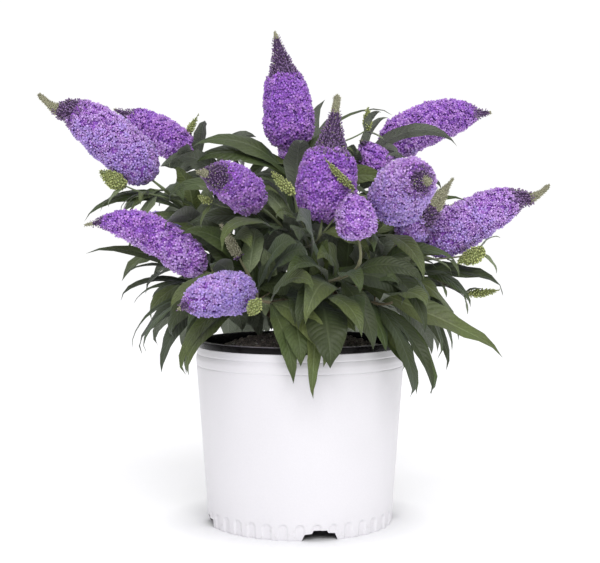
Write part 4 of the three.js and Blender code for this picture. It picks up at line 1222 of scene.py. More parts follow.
def scatter_tree(shades):
    """Sets copies of one shape all over a carrier, and deals out so many shades among them.

    The carrier's point attributes steer it: the one named by Bearing holds how thickly the
    shapes stand, forward the way along the carrier, age the shade, and scale the size.
    """
    def fill(make, given):
        seed, tilt = given["Seed"], given["Tilt"]
        points = make.add("GeometryNodeDistributePointsOnFaces", {
            "Mesh": given["Carrier"], "Distance Min": given["Spacing"],
            "Density Max": MOST_COPIES_PER_AREA,
            "Density Factor": make.attribute(given["Bearing"]), "Seed": seed,
        }, distribute_method="POISSON")
        forward = make.attribute("forward", "FLOAT_VECTOR")
        leaning = make.vectors("MULTIPLY_ADD", forward, given["Lean Forward"], points["Normal"])
        upright = make.add("FunctionNodeAlignRotationToVector", {"Vector": leaning}, axis="Z")
        low = make.add("ShaderNodeCombineXYZ", [tilt * -1.0, tilt * -1.0])
        high = make.add("ShaderNodeCombineXYZ", [tilt, tilt, 2 * pi])
        turn = {0: low, 1: high, "Seed": seed}
        turn = make.add("FunctionNodeRandomValue", turn, data_type="FLOAT_VECTOR")
        turn = make.add("FunctionNodeEulerToRotation", [turn])
        rotation = [upright, turn]
        rotation = make.add("FunctionNodeRotateRotation", rotation, rotation_space="LOCAL")
        scale = make.random(1.0 - given["Size Spread"], given["Size Spread"] + 1.0, seed)
        shape = make.add("GeometryNodeObjectInfo", {"Object": given["Shape"]})["Geometry"]
        copies = make.add("GeometryNodeInstanceOnPoints", {
            "Points": points, "Instance": shape, "Rotation": rotation,
            "Scale": scale * given["Size"] * make.attribute("scale"),
        })
        spread = given["Age Spread"] * .5
        age = make.attribute("age") + make.random(spread * -1.0, spread, seed)
        shade = make.math("MAXIMUM", make.math("FLOOR", age * float(shades)), 0.0)
        shade = make.math("MINIMUM", shade, float(shades - 1))
        mesh = make.add("GeometryNodeStoreNamedAttribute", {
            "Geometry": copies, "Name": "shade", "Value": shade,
        }, data_type="FLOAT", domain="INSTANCE")
        mesh = make.add("GeometryNodeRealizeInstances", {"Geometry": mesh})
        for k in range(shades):
            same = {0: make.attribute("shade"), 1: float(k), "Epsilon": .5}
            same = make.add("FunctionNodeCompare", same, data_type="FLOAT", operation="EQUAL")
            mesh = {"Geometry": mesh, "Selection": same, "Material": given[f"Finish {k}"]}
            mesh = make.add("GeometryNodeSetMaterial", mesh)
        return {"Copies": mesh}

    inputs = {
        "Carrier": "Geometry", "Shape": "Object", "Bearing": "String", "Spacing": .004,
        "Size": .004, "Size Spread": .2, "Lean Forward": 0.0, "Tilt": .3, "Age Spread": .3,
        "Seed": 0, **{f"Finish {k}": "Material" for k in range(shades)},
    }
    name = f"Scatter in {shades} shades"
    return group_tree(name, "GeometryNodeTree", inputs, {"Copies": "Geometry"}, fill)


def run_tree(carrier, tree, name, values):
    """The plain mesh that a tree makes of a carrier, as a new piece."""
    modifier = carrier.modifiers.new("Growth", "NODES")
    modifier.node_group = tree
    for item in tree.interface.items_tree:
        if item.in_out == "INPUT" and item.name in values:
            modifier[item.identifier] = values[item.name]
    mesh = evaluated_mesh(carrier, name)
    carrier.modifiers.remove(modifier)
    return linked(name, mesh)


def evaluated_mesh(piece, name):
    evaluated = piece.evaluated_get(bpy.context.evaluated_depsgraph_get())
    mesh = bpy.data.meshes.new_from_object(evaluated)
    mesh.name = name
    return mesh


def scatter(carrier, name, shape, finishes, **values):
    """Copies of a shape all over a carrier, dealt out among the finishes, as a new piece. The
    values are the tree's inputs, with an underscore for each space."""
    inputs = {key.replace("_", " ").title(): value for key, value in values.items()}
    inputs.update({f"Finish {k}": finish(key) for k, key in enumerate(finishes)})
    return run_tree(carrier, scatter_tree(len(finishes)), name, {"Shape": shape, **inputs})


# ---- Container and potting mix ----

FOOT_BEVEL = .0009
FOOT_WALL = .0034
BASE_Z = .0136
BASE_HOLE_RADIUS = .03
LINE_WIDTH = .0004
SHELL_EDGE_ANGLE = 32
RIM_COLUMNS = 288
RIM_EDGE_ANGLE = 40
RIM_ROLL, RIM_INNER_ROLL, RIM_OUTER_ROLL = .0024, .0016, .0006
SOIL_COLUMNS = 120
SOIL_RINGS = 36
SOIL_DEPTH = .016
SOIL_WAVES = .0035
SOIL_HEAP = .023
SOIL_HEAP_RADIUS = .104
LUMP_ROOM = .007


def turns_of(columns):
    return 2 * np.pi * np.arange(columns) / columns


def wheel_object(name, rings, columns, looped=False, **dress):
    """A wheel-shaped skin over rings of a radius and a height, its end rings closed to points
    on the axis, or joined to each other if looped. The skin runs up the outside."""
    turns = turns_of(columns)
    radii = np.array([np.broadcast_to(radius, columns) for radius, _ in rings])
    heights = np.array([np.broadcast_to(z, columns) for _, z in rings])
    points = np.stack([radii * np.cos(turns), radii * np.sin(turns), heights], -1).reshape(-1, 3)
    faces = tube_faces(0, len(rings), columns, looped)
    if not looped:
        pole, last = len(points), len(points) - columns
        points = np.concatenate([points, [[0, 0, np.mean(heights[end])] for end in (0, -1)]])
        around = [(k, (k + 1) % columns) for k in range(columns)]
        faces += [(pole, b, a) for a, b in around]
        faces += [(pole + 1, last + a, last + b) for a, b in around]
    return mesh_object(name, points, faces, **dress)


def shell_radius(turns, z, flute_depth, line_depth):
    """The shell's radius all round at a height, with the foot's flutes and the moulding lines."""
    pitch = 2 * np.pi / FLUTES
    across = np.abs((turns + pitch / 2) % pitch - pitch / 2) * FOOT_RADIUS
    over = max(0, z - (FLUTE_TOP - FLUTE_HALF_WIDTH))
    from_middle = np.hypot(across, over)
    pressed = 1 - smooth_step(FLUTE_HALF_WIDTH - FLUTE_EDGE, FLUTE_HALF_WIDTH, from_middle)
    lines = sum(exp(-(((z - line) / LINE_WIDTH) ** 2)) for line in MOULD_LINES)
    slope = np.interp(z, [SHOULDER_Z, COLLAR_TOP], [wall_radius(SHOULDER_Z), COLLAR_RADIUS])
    outside = wall_radius(z) if z < SHOULDER_Z else slope
    bevel = FOOT_BEVEL * max(0, 1 - z / (2 * FOOT_BEVEL)) ** 2
    return outside - flute_depth * pressed - line_depth * lines - bevel


def container_shell(settings):
    columns = settings.columns // FLUTES * FLUTES
    turns = turns_of(columns)
    fine = [line + step * LINE_WIDTH for line in MOULD_LINES for step in (-2, -1, 0, 1, 2)]
    heights = np.concatenate([
        [0, .0006, .0018], np.linspace(.0035, FLUTE_TOP + .0015, 15),
        np.linspace(.027, .207, 20), fine, [.214, .2175, SHOULDER_Z, .2205, .229],
        [COLLAR_TOP - .0005],
    ])
    base_radius = wall_radius(BASE_Z) - FOOT_WALL
    under = [
        (BASE_HOLE_RADIUS, BASE_Z), (base_radius - .001, BASE_Z), (base_radius, BASE_Z - .001),
        (FOOT_RADIUS - FOOT_WALL, 0),
    ]
    outer = [
        (shell_radius(turns, z, settings.flute_depth, settings.line_depth), z)
        for z in np.sort(heights)
    ]
    collar = [(COLLAR_RADIUS - .0005, COLLAR_TOP), (COLLAR_RADIUS - WALL, COLLAR_TOP)]
    inner = [(wall_radius(z) - WALL, z) for z in (.226, .1, FOOT_FLOOR)]
    shell = wheel_object(
        "container_shell", under + outer + collar + inner, columns,
        finishes=("White shell", "Black shell"), smooth=False,
    )
    rows = np.arange(len(shell.data.polygons)) // columns
    inside = (rows < len(under) - 1) | (rows > len(under) + len(outer))
    shell.data.polygons.foreach_set("material_index", inside.astype(np.int32))
    cut = shell.modifiers.new("Notches", "BOOLEAN")
    cut.operation = "DIFFERENCE"
    cut.solver = "EXACT"
    cut.object = notch_cutter()
    cut_mesh = evaluated_mesh(shell, "container_shell")
    discard(cut.object, shell)
    shell = linked("container_shell", cut_mesh)
    shade_with_edges(shell, SHELL_EDGE_ANGLE)
    return shell


def notch_cutter():
    """Four prisms through the foot's wall."""
    prisms = []
    for index in range(NOTCHES):
        turn = Matrix.Rotation(radians(NOTCH_TURN + 360 / NOTCHES * index), 3, "Z")
        prisms.append([
            [turn @ Vector((out, across, z)) for across, z in NOTCH_OUTLINE]
            for out in (FOOT_RADIUS - NOTCH_DEPTH, FOOT_RADIUS + NOTCH_DEPTH)
        ])
    return skins_object("notch_cutter", prisms, {}, ["Black shell"])


def arc(middle, radius, first, last, steps=5):
    turns = [radians(first + (last - first) * i / steps) for i in range(steps + 1)]
    return [(middle[0] + radius * cos(a), middle[1] + radius * sin(a)) for a in turns]


def container_rim():
    """The black inner liner's rim: a skirt inside the collar and a rolled lip on top of it."""
    skirt = COLLAR_RADIUS - WALL - GAP
    under_lip = COLLAR_TOP + GAP
    outer, rolled, inner = RIM_OUTER_ROLL, RIM_ROLL, RIM_INNER_ROLL
    profile = [(skirt - .0012, RIM_SKIRT_FOOT), (skirt, under_lip)]
    profile += arc((RIM_RADIUS - outer, under_lip + outer), outer, -90, 0, 3)
    profile += arc((RIM_RADIUS - .0005 - rolled, RIM_TOP - rolled), rolled, 0, 90)
    profile += arc((RIM_LIP_INNER_RADIUS + inner, RIM_TOP - inner), inner, 90, 180)
    profile.append((skirt - .0032, RIM_SKIRT_FOOT))
    rim = wheel_object("container_rim", profile, RIM_COLUMNS, looped=True, finishes=["Black shell"])
    shade_with_edges(rim, RIM_EDGE_ANGLE)
    return rim


def soil_height(x, y):
    place = Vector((x, y, 0))
    waves = noise.noise(place * 38) * .6 + noise.noise(place * 120) * .4
    heap = SOIL_HEAP * exp(-(hypot(x, y) / SOIL_HEAP_RADIUS) ** 4)
    return SOIL_TOP - .0015 + SOIL_WAVES * waves + heap


def potting_bed():
    """The potting mix's surface, uneven and heaped a little round the root crown. It bears
    lumps but for its foot and the edge by the wall."""
    turns = turns_of(SOIL_COLUMNS)
    foot = SOIL_TOP - SOIL_DEPTH
    rings = [(.02, foot), (SOIL_RADIUS - .002, foot), (SOIL_RADIUS, SOIL_TOP - .005)]
    foot_rings = len(rings)
    for i in range(SOIL_RINGS):
        radius = (SOIL_RADIUS - .0008) * (1 - i / SOIL_RINGS)
        heights = [soil_height(radius * cos(a), radius * sin(a)) for a in turns]
        rings.append((radius, np.array(heights)))
    bearing = [
        float(i >= foot_rings and radius < SOIL_RADIUS - LUMP_ROOM)
        for i, (radius, _) in enumerate(rings) for _ in turns
    ] + [0, 0]
    return wheel_object("potting_bed", rings, SOIL_COLUMNS, finishes=["Potting mix"], values={
        "bearing": bearing, "age": [.5] * len(bearing), "scale": [1] * len(bearing),
    })


def lump_shape(stretch, roughness, seed):
    """A small broken lump of twenty faces."""
    shape = bmesh.new()
    bmesh.ops.create_icosphere(shape, subdivisions=1, radius=.5)
    for vert in shape.verts:
        vert.co *= 1 + roughness * noise.noise(vert.co * 3 + Vector((seed, 0, 0)))
        vert.co = [part * by for part, by in zip(vert.co, stretch)]
    mesh = bpy.data.meshes.new("lump_shape")
    shape.to_mesh(mesh)
    shape.free()
    return linked("lump_shape", mesh)


# ---- Limbs ----

CROWN_ROWS = (
    (-.008, .024), (0.0, CROWN_FLARE_RADIUS), (.006, .0175), (.014, CROWN_RADIUS),
    (.019, .0135), (.023, .0088),
)
BOUGH_INSET = .01
BOUGH_STEP = .005
BOUGH_WAVE, BOUGH_WAVES = .07, 9
BOUGH_TIP_ROUNDING = .003
BARK_THICKNESS = 1.15
BARK_VOXEL = .0012
NODE_SWELLING = .4
NODE_LENGTH = .0035
STEM_INSET = .008
STALK_SHARE = .2


def woody_lines():
    """The root crown and the boughs, which start well inside it, as lines with radii."""
    rows = [(crown_centre(SOIL_TOP + z), radius) for z, radius in CROWN_ROWS]
    lines = [([point for point, _ in rows], [radius for _, radius in rows])]
    thickest = BOUGH_ROOT_RADIUS * BARK_THICKNESS
    for bough in BOUGHS.values():
        path = bough_path(bough)
        facet, normal = crown_facet(bough.turn)
        points = [facet - normal * BOUGH_INSET] + path.points(BOUGH_STEP)
        radii = []
        for part in even_parts(len(points)):
            wave = sin(BOUGH_WAVES * part + len(lines) * 2)
            thick = thickest + (BOUGH_TIP_RADIUS - thickest) * part
            radii.append(thick * (1 + BOUGH_WAVE * wave))
        points.append(points[-1] + path.way(1) * BOUGH_TIP_ROUNDING)
        radii.append(BOUGH_TIP_RADIUS * .7)
        lines.append((points, radii))
    return lines


def stem_lines(bush, step):
    """Shoots from inside their bough's tip to their last leaves, swollen at their nodes."""
    lines = []
    for shoot, (path, node_parts) in zip(SHOOTS, bush["stems"]):
        points = path.points(step)
        radii = []
        for part in even_parts(len(points)):
            near = min((abs(part - node) for node in node_parts), default=1) * path.length
            swell = 1 + NODE_SWELLING * exp(-((near / NODE_LENGTH) ** 2))
            radii.append((STEM_ROOT_RADIUS + (STEM_TIP_RADIUS - STEM_ROOT_RADIUS) * part) * swell)
        points.insert(0, points[0] - path.way(0) * STEM_INSET)
        radii.insert(0, STEM_ROOT_RADIUS * 1.1)
        if shoot.tip:
            head = head_path(shoot)
            inside = head.at(STALK_SHARE)
            reach = (inside - points[-1]).length * .4
            stalk = bend(points[-1], head_way(shoot), inside, head.way(STALK_SHARE), reach)
            stalk = stalk.points(step)[1:]
            points += stalk
            radii += [STALK_RADIUS * 1.15] * len(stalk)
        lines.append((points, radii))
    for path in bush["twigs"]:
        points = path.points(step)
        radii = [TWIG_RADIUS * (1.1 - .35 * i / (len(points) - 1)) for i in range(len(points))]
        lines.append((points, radii))
    return lines


# ---- Flower heads ----

HEAD_RINGS = 46
HEAD_SIDES = 28
HEAD_LUMPS = .16
TAIL_FROM = .72
TAIL_CLOSES_FROM = .985
TAIL_THICKENING = .22
HUMP_EARLY = .75
RIPENING, LUMPS_OLDER, UNDERSIDE_SHADE_TINT = .3, .2, .12
BLUNT_PROFILE = (
    (0, .34), (.05, .78), (.15, 1.0), (.45, .97), (.62, .86), (.74, .68), (.82, .46),
    (.9, .25), (1, .12),
)
TAIL_RADIUS = .0018
SPIKE_RINGS = 12
SPIKE_SIDES = 12
SPIKE_LIFT = .002
SPIKE_LEAST_RADIUS = .0004
SPIKE_BOW = .35
SPIKE_SEED = 71


def head_middle(shoot, path, part):
    point = path.at(part)
    sag = max(0, (part - TAIL_FROM) / (1 - TAIL_FROM))
    point.x += shoot.sway * sin(pi * part)
    point.z += shoot.rise * sin(pi * part**HUMP_EARLY) - shoot.tail * sin(pi * sag)
    return point


def head_girth(shoot, part):
    """Share of the head's full girth: the solid's own profile, filled out where it is blunt,
    and stepped in where the bud zone begins."""
    share_there = head_share(part)
    share_there += shoot.blunt * (head_share(part, BLUNT_PROFILE) - share_there)
    closing = smooth_step(shoot.open_until - .04, shoot.open_until + .05, part)
    return share_there * shoot.plump * (1 - (1 - shoot.bud_girth) * closing)


def head_cover(shoot, part):
    """How thickly florets, violet buds and felted buds stand along a head, and their scale."""
    opened, felted = shoot.open_until, shoot.felt_from
    begun = smooth_step(opened - .1, opened, part)
    pale = smooth_step(felted - .03, felted + .01, part)
    return {
        "open": 1 - smooth_step(opened - .05, opened + .03, part),
        "violet": begun * (1 - smooth_step(felted - .02, felted + .03, part)),
        "felt": max(pale, shoot.dusty * begun),
        "scale": 1 - .42 * smooth_step(opened * .8, 1, part),
    }


def head_carrier(name, shoots, lift, finishes=()):
    """The cores of flower heads, with how thickly florets and buds stand on each point."""
    skins, values = [], defaultdict(list)
    for shoot in shoots:
        path = head_path(shoot)
        rings = []
        side, _ = across_path(path.way(0))
        for part in even_parts(HEAD_RINGS):
            way = (head_middle(shoot, path, min(1, part + .01))
                   - head_middle(shoot, path, max(0, part - .01))).normalized()
            side = (side - way * side.dot(way)).normalized()
            other = way.cross(side)
            middle = head_middle(shoot, path, part)
            stand = lift * (1 - .45 * smooth_step(shoot.open_until, 1, part))
            tail = TAIL_RADIUS * shoot.tip_girth + shoot.tail * TAIL_THICKENING
            tail *= 1 - smooth_step(TAIL_CLOSES_FROM, 1, part)
            core = max(tail, shoot.width / 2 * head_girth(shoot, part) - stand)
            ring = []
            for k in range(HEAD_SIDES):
                out = round_about(side, other, 2 * pi * k / HEAD_SIDES)
                place = middle + out * shoot.width / 2
                lump = .65 * noise.noise(place * 85) + .35 * noise.noise(place * 190)
                ring.append(middle + out * core * (1 + HEAD_LUMPS * lump))
                ripening = RIPENING * (shoot.open_until / 2 - part)
                # Painted light and shade: the top of each head is dealt younger, pinker shades and its
                # underside older, bluer ones, besides the real ripening along the head.
                values["age"].append(shoot.age + ripening + LUMPS_OLDER * lump - UNDERSIDE_SHADE_TINT * out.z)
            rings.append(ring)
            for key, value in {**head_cover(shoot, part), "forward": tuple(way)}.items():
                values[key] += [value] * HEAD_SIDES
        skins.append(rings)
    return skins_object(name, skins, values, finishes)


def spike_carrier(bush):
    """The cores of the green spikes."""
    skins, values = [], defaultdict(list)
    draws = seeded_draws(SPIKE_SEED)
    shares = np.linspace(0, 1, len(SPIKE_RADII))
    for end, way, length, girth in bush["spikes"]:
        foot, tip = end - way * SPIKE_RADII[0], end + way * length
        side, other = across_path(way)
        bow = (side * (draws() - .5) + UP * .4) * length * SPIKE_BOW
        rings = []
        for part in even_parts(SPIKE_RINGS):
            radius = float(np.interp(part, shares, SPIKE_RADII)) * girth - SPIKE_LIFT
            radius = max(radius, SPIKE_LEAST_RADIUS)
            middle = foot.lerp(tip, part) + bow * (part * part - part)
            rings.append([
                middle + round_about(side, other, 2 * pi * k / SPIKE_SIDES) * radius
                for k in range(SPIKE_SIDES)
            ])
            rows = {
                "bearing": 1, "age": .2 + .6 * part, "scale": 1.1 - .5 * part,
                "forward": tuple(way),
            }
            for key, value in rows.items():
                values[key] += [value] * SPIKE_SIDES
        skins.append(rings)
    return skins_object("spike_cores", skins, values, ["Spike core"])


def skins_object(name, skins, values, finishes):
    """Closed skins over rows of rings, with values at their points."""
    points, faces = [], []
    for rings in skins:
        start, count = len(points), len(rings[0])
        points += [point for ring in rings for point in ring]
        faces += tube_faces(start, len(rings), count)
        faces.append(range(start + count - 1, start - 1, -1))
        faces.append(range(len(points) - count, len(points)))
    return mesh_object(name, points, faces, finishes=finishes, values=values)


# The petal value that the petal finish paints by: low in the throat and at the foot, as painted shade,
# and high on two lobes of each floret, which are painted lighter as painted light.
FLORET_RING = ((0.0, .36, .98), (.44, 1.0, .92), (1.13, 1.0, .92))
LOBE_PAINTED_LIGHT = (1.0, .7, .9, .62)
THROAT_PAINTED_SHADE = .4


def floret_shape():
    """A floret one unit across its radius: four petals on a tube, in 24 faces."""
    points, petal = [(0, 0, .8), (0, 0, -.1)], [.2, 0.0]
    for lobe, lobe_painted_light in enumerate(LOBE_PAINTED_LIGHT):
        for turn, out, z in FLORET_RING:
            angle = lobe * pi / 2 + turn
            points.append((out * cos(angle), out * sin(angle), z))
            petal.append(lobe_painted_light if out > .5 else THROAT_PAINTED_SHADE)
    faces = []
    count = len(points) - 2
    for k in range(count):
        a, b = 2 + k, 2 + (k + 1) % count
        faces += [(0, a, b), (1, b, a)]
    return mesh_object("floret_shape", points, faces, values={"petal": petal})


BUD_RINGS = ((0.0, .08), (.42, .12), (.78, .21))
BUD_SIDES = 4


def bud_shape(fullness):
    """A bud one unit long: a slim four-sided tube, wider towards its pointed head."""
    points, faces = [], []
    for z, radius in BUD_RINGS:
        for k in range(BUD_SIDES):
            turn, out = 2 * pi * k / BUD_SIDES, radius * fullness
            points.append((out * cos(turn), out * sin(turn), z))
    points.append((0, 0, 1))
    top = (len(BUD_RINGS) - 1) * BUD_SIDES
    for k in range(BUD_SIDES):
        after = (k + 1) % BUD_SIDES
        for start in range(0, top, BUD_SIDES):
            upper = start + BUD_SIDES
            faces.append((start + k, start + after, upper + after, upper + k))
        faces.append((top + k, top + after, len(points) - 1))
    faces.append(range(BUD_SIDES - 1, -1, -1))
    return mesh_object("bud_shape", points, faces, values={"petal": [z for _, _, z in points]})


# ---- Finishes ----

def tone_group():
    """A colour whose lightness and hue drift in wide patches and in fine specks."""
    def fill(make, given):
        place, patch_scale = given["Vector"], given["Patch Scale"]
        patch = make.span(make.noise(place, patch_scale), .3, .7)
        speck = make.span(make.noise(place, given["Speck Scale"], 3.0, .6), .3, .7)
        light = (patch - .5) * given["Patch Spread"] + (speck - .5) * given["Speck Spread"]
        hue = (make.noise(place, patch_scale * 1.7, 1.0) - .5) * given["Hue Spread"]
        shaded = {"Color": given["Color"], "Value": light + 1.0, "Hue": hue + .5}
        shaded = make.add("ShaderNodeHueSaturation", shaded)
        return {"Color": shaded, "Patch": patch, "Speck": speck}

    inputs = {
        "Color": "Color", "Vector": "Vector", "Patch Scale": 12.0, "Patch Spread": .3,
        "Speck Scale": 300.0, "Speck Spread": .3, "Hue Spread": .02,
    }
    outputs = {"Color": "Color", "Patch": "Float", "Speck": "Float"}
    return group_tree("Mottled tone", "ShaderNodeTree", inputs, outputs, fill)


def vein_group():
    """Veins of a blade, drawn on its map: across in X, from root to tip in Y."""
    def fill(make, given):
        apart = make.add("ShaderNodeSeparateXYZ", [given["Vector"]])
        reach = make.math("ABSOLUTE", make.math("MULTIPLY_ADD", apart[0], 2.0, -1.0))
        lane = apart[1] * given["Count"] - make.math("POWER", reach, 1.35) * given["Rise"]
        lane = make.math("MULTIPLY_ADD", make.math("FRACT", lane), 2.0, -1.0)
        from_middle = make.math("ABSOLUTE", lane)
        puff = 1.0 - make.math("POWER", from_middle, 2.0)
        quilt = puff * make.span(reach, .06, .3) * make.span(reach, .8, 1.0, 1.0, .2)
        midrib = make.span(reach, .02, .1, 1.0, 0.0)
        return {"Midrib": midrib, "Veins": make.span(from_middle, .84, 1.0), "Quilt": quilt}

    inputs = {"Vector": "Vector", "Count": 17.0, "Rise": 1.8}
    outputs = {"Midrib": "Float", "Veins": "Float", "Quilt": "Float"}
    return group_tree("Blade veins", "ShaderNodeTree", inputs, outputs, fill)


class Finish(Tree):
    """A material, with the nodes that its kinds share. The shine is the shader's specular
    level and sheen weight. The mottle is the scale and spread of the base colour's patches,
    those of its specks, and the spread of its hue."""

    MOTTLE = ("Patch Scale", "Patch Spread", "Speck Scale", "Speck Spread", "Hue Spread")

    def __init__(self, name, colour, shine, mottle):
        self.material = bpy.data.materials.new(name)
        self.material.use_nodes = True
        super().__init__(self.material.node_tree)
        self.shader = self.tree.nodes["Principled BSDF"]
        self.feed(self.shader, dict(zip(("Specular IOR Level", "Sheen Weight"), shine)))
        self.place = self.add("ShaderNodeTexCoord")["Object"]
        inputs = {"Color": self.base(colour), "Vector": self.place, **dict(zip(self.MOTTLE, mottle))}
        self.tone = self.add("ShaderNodeGroup", inputs, node_tree=tone_group())
        self.patch, self.speck = self.tone["Patch"], self.tone["Speck"]

    def base(self, colour):
        return (*getattr(bpy.context.scene.bush_colours, colour), 1.0)

    def veins(self):
        blade_map = self.add("ShaderNodeUVMap", uv_map="Blade")
        return self.add("ShaderNodeGroup", {"Vector": blade_map}, node_tree=vein_group())

    def petal(self, low, high):
        """A mask between two values of the petal attribute."""
        return self.span(self.add("ShaderNodeAttribute", attribute_name="petal")["Fac"], low, high)

    def height(self):
        return self.add("ShaderNodeSeparateXYZ", [self.place])[2]

    def stretched(self, height_scale):
        return self.vectors("MULTIPLY", self.place, (1, 1, height_scale))

    def shade(self, value, saturation=1.0):
        inputs = {"Color": self.tone, "Saturation": saturation, "Value": value}
        return self.add("ShaderNodeHueSaturation", inputs)

    def dressed(self, colour, roughness, distance, relief=None):
        """The material with this colour, roughness and relief, which ends its making. A pair
        of roughnesses follows the patches, and where no relief is given, the specks are it."""
        if isinstance(roughness, tuple):
            roughness = self.span(self.patch, 0.0, 1.0, *roughness)
        bump = self.add("ShaderNodeBump", {"Height": relief or self.speck, "Distance": distance})
        self.feed(self.shader, {"Base Color": colour, "Roughness": roughness, "Normal": bump})
        return self.material


def white_shell(name, colour):
    """Satin white moulded plastic: faint flow lines up the wall, and scuffs near the foot."""
    make = Finish(name, colour, [.45], (7.0, .035, 420.0, .02, .02))
    flow = make.noise(make.stretched(.06), 60.0, 3.0)
    low = make.span(make.height(), 0.0, .03, 1.0, 0.0)
    scuffs = make.span(make.noise(make.place, 150.0, 4.0, .7), .56, .7)
    scuffs = scuffs * make.math("MULTIPLY_ADD", low, .45, .02)
    wear_and_painted_highlight = make.mix(scuffs, make.tone, (.52, .5, .49, 1))
    rough = make.span(flow, .3, .7, .3, .42)
    return make.dressed(wear_and_painted_highlight, rough, .00008, flow * .5 + make.speck * .5)


def black_shell(name, colour):
    """Black plastic with fine scratches, and a pale line painted along the top of the rim as a painted
    highlight.
    """
    make = Finish(name, colour, [.12], (30.0, .5, 500.0, .4, .02))
    scratches = make.span(make.noise(make.stretched(9), 130.0, 4.0, .7), .5, .75)
    scuffed = make.mix(scratches * .05, make.tone, (.16, .15, .14, 1))
    # Painted highlight: a pale band just under the rim's top, standing in for the light that its rolled
    # edge catches.
    lip = make.span(make.height(), RIM_TOP - .0012, RIM_TOP - .0007) * .7
    wear_and_painted_highlight = make.mix(lip, scuffed, (.3, .28, .3, 1))
    rough = make.math("MULTIPLY_ADD", scratches, .2, .16)
    return make.dressed(wear_and_painted_highlight, rough, .00006, scratches)


def earth(name, colour, grain, spread):
    """Damp crumbly earth, chips or grains."""
    make = Finish(name, colour, [.3], (grain / 6, spread, grain, spread, .05))
    return make.dressed(make.tone, (.65, .95), .0012)


def bark(name, colour):
    """Old wood: pale ridges over dark cracks that run along the limbs."""
    make = Finish(name, colour, [.25], (70.0, .5, 700.0, .35, .04))
    ridges = make.span(make.noise(make.stretched(.2), 260.0, 4.0, .65), .38, .62)
    cracked = make.mix(ridges, (.045, .032, .022, 1), make.tone)
    relief = make.math("MULTIPLY_ADD", make.speck, .3, ridges)
    return make.dressed(cracked, make.span(ridges, 0.0, 1.0, .95, .75), .0007, relief)


def stem(name, colour):
    """Young shoots: grey-green felt, browner towards the wood."""
    make = Finish(name, colour, [.3, .25], (40.0, .35, 900.0, .3, .03))
    woody = make.span(make.height(), .3, .42, .75, 0.0)
    return make.dressed(make.mix(woody, make.tone, make.base("bark")), (.6, .8), .0002)


def leaf_face(name, colour):
    """The upper side of a leaf: quilted between its veins and a little darker along them, as painted
    shade, with a paler midrib and, here and there, a grey bloom that is partly felt and partly painted
    sheen."""
    make = Finish(name, colour, [.4, .16], (16.0, .4, 430.0, .42, .035))
    make.feed(make.shader, {"Sheen Tint": (.82, .9, 1, 1)})
    veins = make.veins()
    line = make.math("MAXIMUM", veins["Veins"] * .05, veins["Midrib"] * .5)
    # Painted shade: a little darker along the sunken veins, by the midrib and towards the edges.
    vein_lanes_shaded = make.mix(veins["Quilt"], make.shade(.93), make.tone)
    # Grey patches here and there over the blade: partly felt, partly a painted sheen.
    bloom = make.span(make.noise(make.place, 11.0), .5, .72, 0.0, .3)
    grey_felt_and_sheen = make.mix(bloom, vein_lanes_shaded, (.12, .135, .13, 1))
    veined = make.mix(line, grey_felt_and_sheen, make.shade(2.1, .75))
    relief = make.math("MULTIPLY_ADD", make.speck, .12, veins["Quilt"])
    relief = make.math("MULTIPLY_ADD", veins["Midrib"], -.7, relief)
    return make.dressed(veined, (.42, .58), .0004, relief)


def leaf_felt(name, colour):
    """The underside of a leaf: pale grey felt with raised veins."""
    make = Finish(name, colour, [.2, .3], (18.0, .25, 1400.0, .3, .02))
    veins = make.veins()
    line = make.math("MAXIMUM", veins["Veins"], veins["Midrib"])
    veined = make.mix(line * .7, make.tone, make.shade(1.35, .8))
    relief = make.math("MULTIPLY_ADD", make.speck, .15, line)
    return make.dressed(veined, (.78, .95), .0007, relief)


def petals(name, colour):
    """Petals: painted shade deep in the throat and down the tube, clear colour at the edges, two lobes
    of each floret painted lighter as painted light, and a faint satin bloom.
    """
    make = Finish(name, colour, [.25, .2], (60.0, .22, 420.0, .4, .03))
    # Painted light: the lobes with the higher petal values are paler.
    lit = make.mix(make.petal(.6, 1.0), make.tone, make.shade(1.3, .78))
    # Painted shade: darkest in the throat and on the tube down to the floret's foot, between the
    # florets.
    deep = make.mix(make.petal(.1, .6), make.shade(.32, 1.25), lit)
    return make.dressed(deep, make.span(make.speck, 0.0, 1.0, .5, .75), .0002)


def buds(name, colour, tip_value):
    """Unopened buds, dark at their foot and paler towards their tips."""
    make = Finish(name, colour, [.25, .3], (70.0, .35, 600.0, .5, .04))
    shaded = make.mix(make.petal(0.0, .5), make.shade(.55), make.tone)
    tipped = make.mix(make.petal(.6, 1.0), shaded, make.shade(tip_value))
    return make.dressed(tipped, (.6, .85), .0003)


def core(name, colour, value):
    """The heart of a flower head, seen only in the gaps between florets or buds."""
    make = Finish(name, colour, [.15], (120.0, .4, 500.0, .8, .04))
    return make.dressed(make.shade(value), (.75, .95), .001)


FLOOR_GLOW = .26
FLOOR_GLOW_FROM = .118
FLOOR_GLOW_FULL = .19


def pale_floor(name, colour):
    """A matt pale floor that glows evenly to its far edge; its glow fades out round the container, a
    painted shadow near its foot.
    """
    make = Finish(name, colour, [.1], (2.0, .01, 90.0, .01, 0.0))
    away = make.vectors("LENGTH", make.place)["Value"]
    # Painted shadow: no glow near the container's axis, rising to full glow further out.
    glow = make.span(away, FLOOR_GLOW_FROM, FLOOR_GLOW_FULL, 0.0, FLOOR_GLOW)
    rough = make.span(make.patch, 0.0, 1.0, .8, .9)
    make.feed(make.shader, {
        "Base Color": make.tone, "Roughness": rough, "Emission Color": (1, 1, 1, 1),
        "Emission Strength": glow,
    })
    return make.material


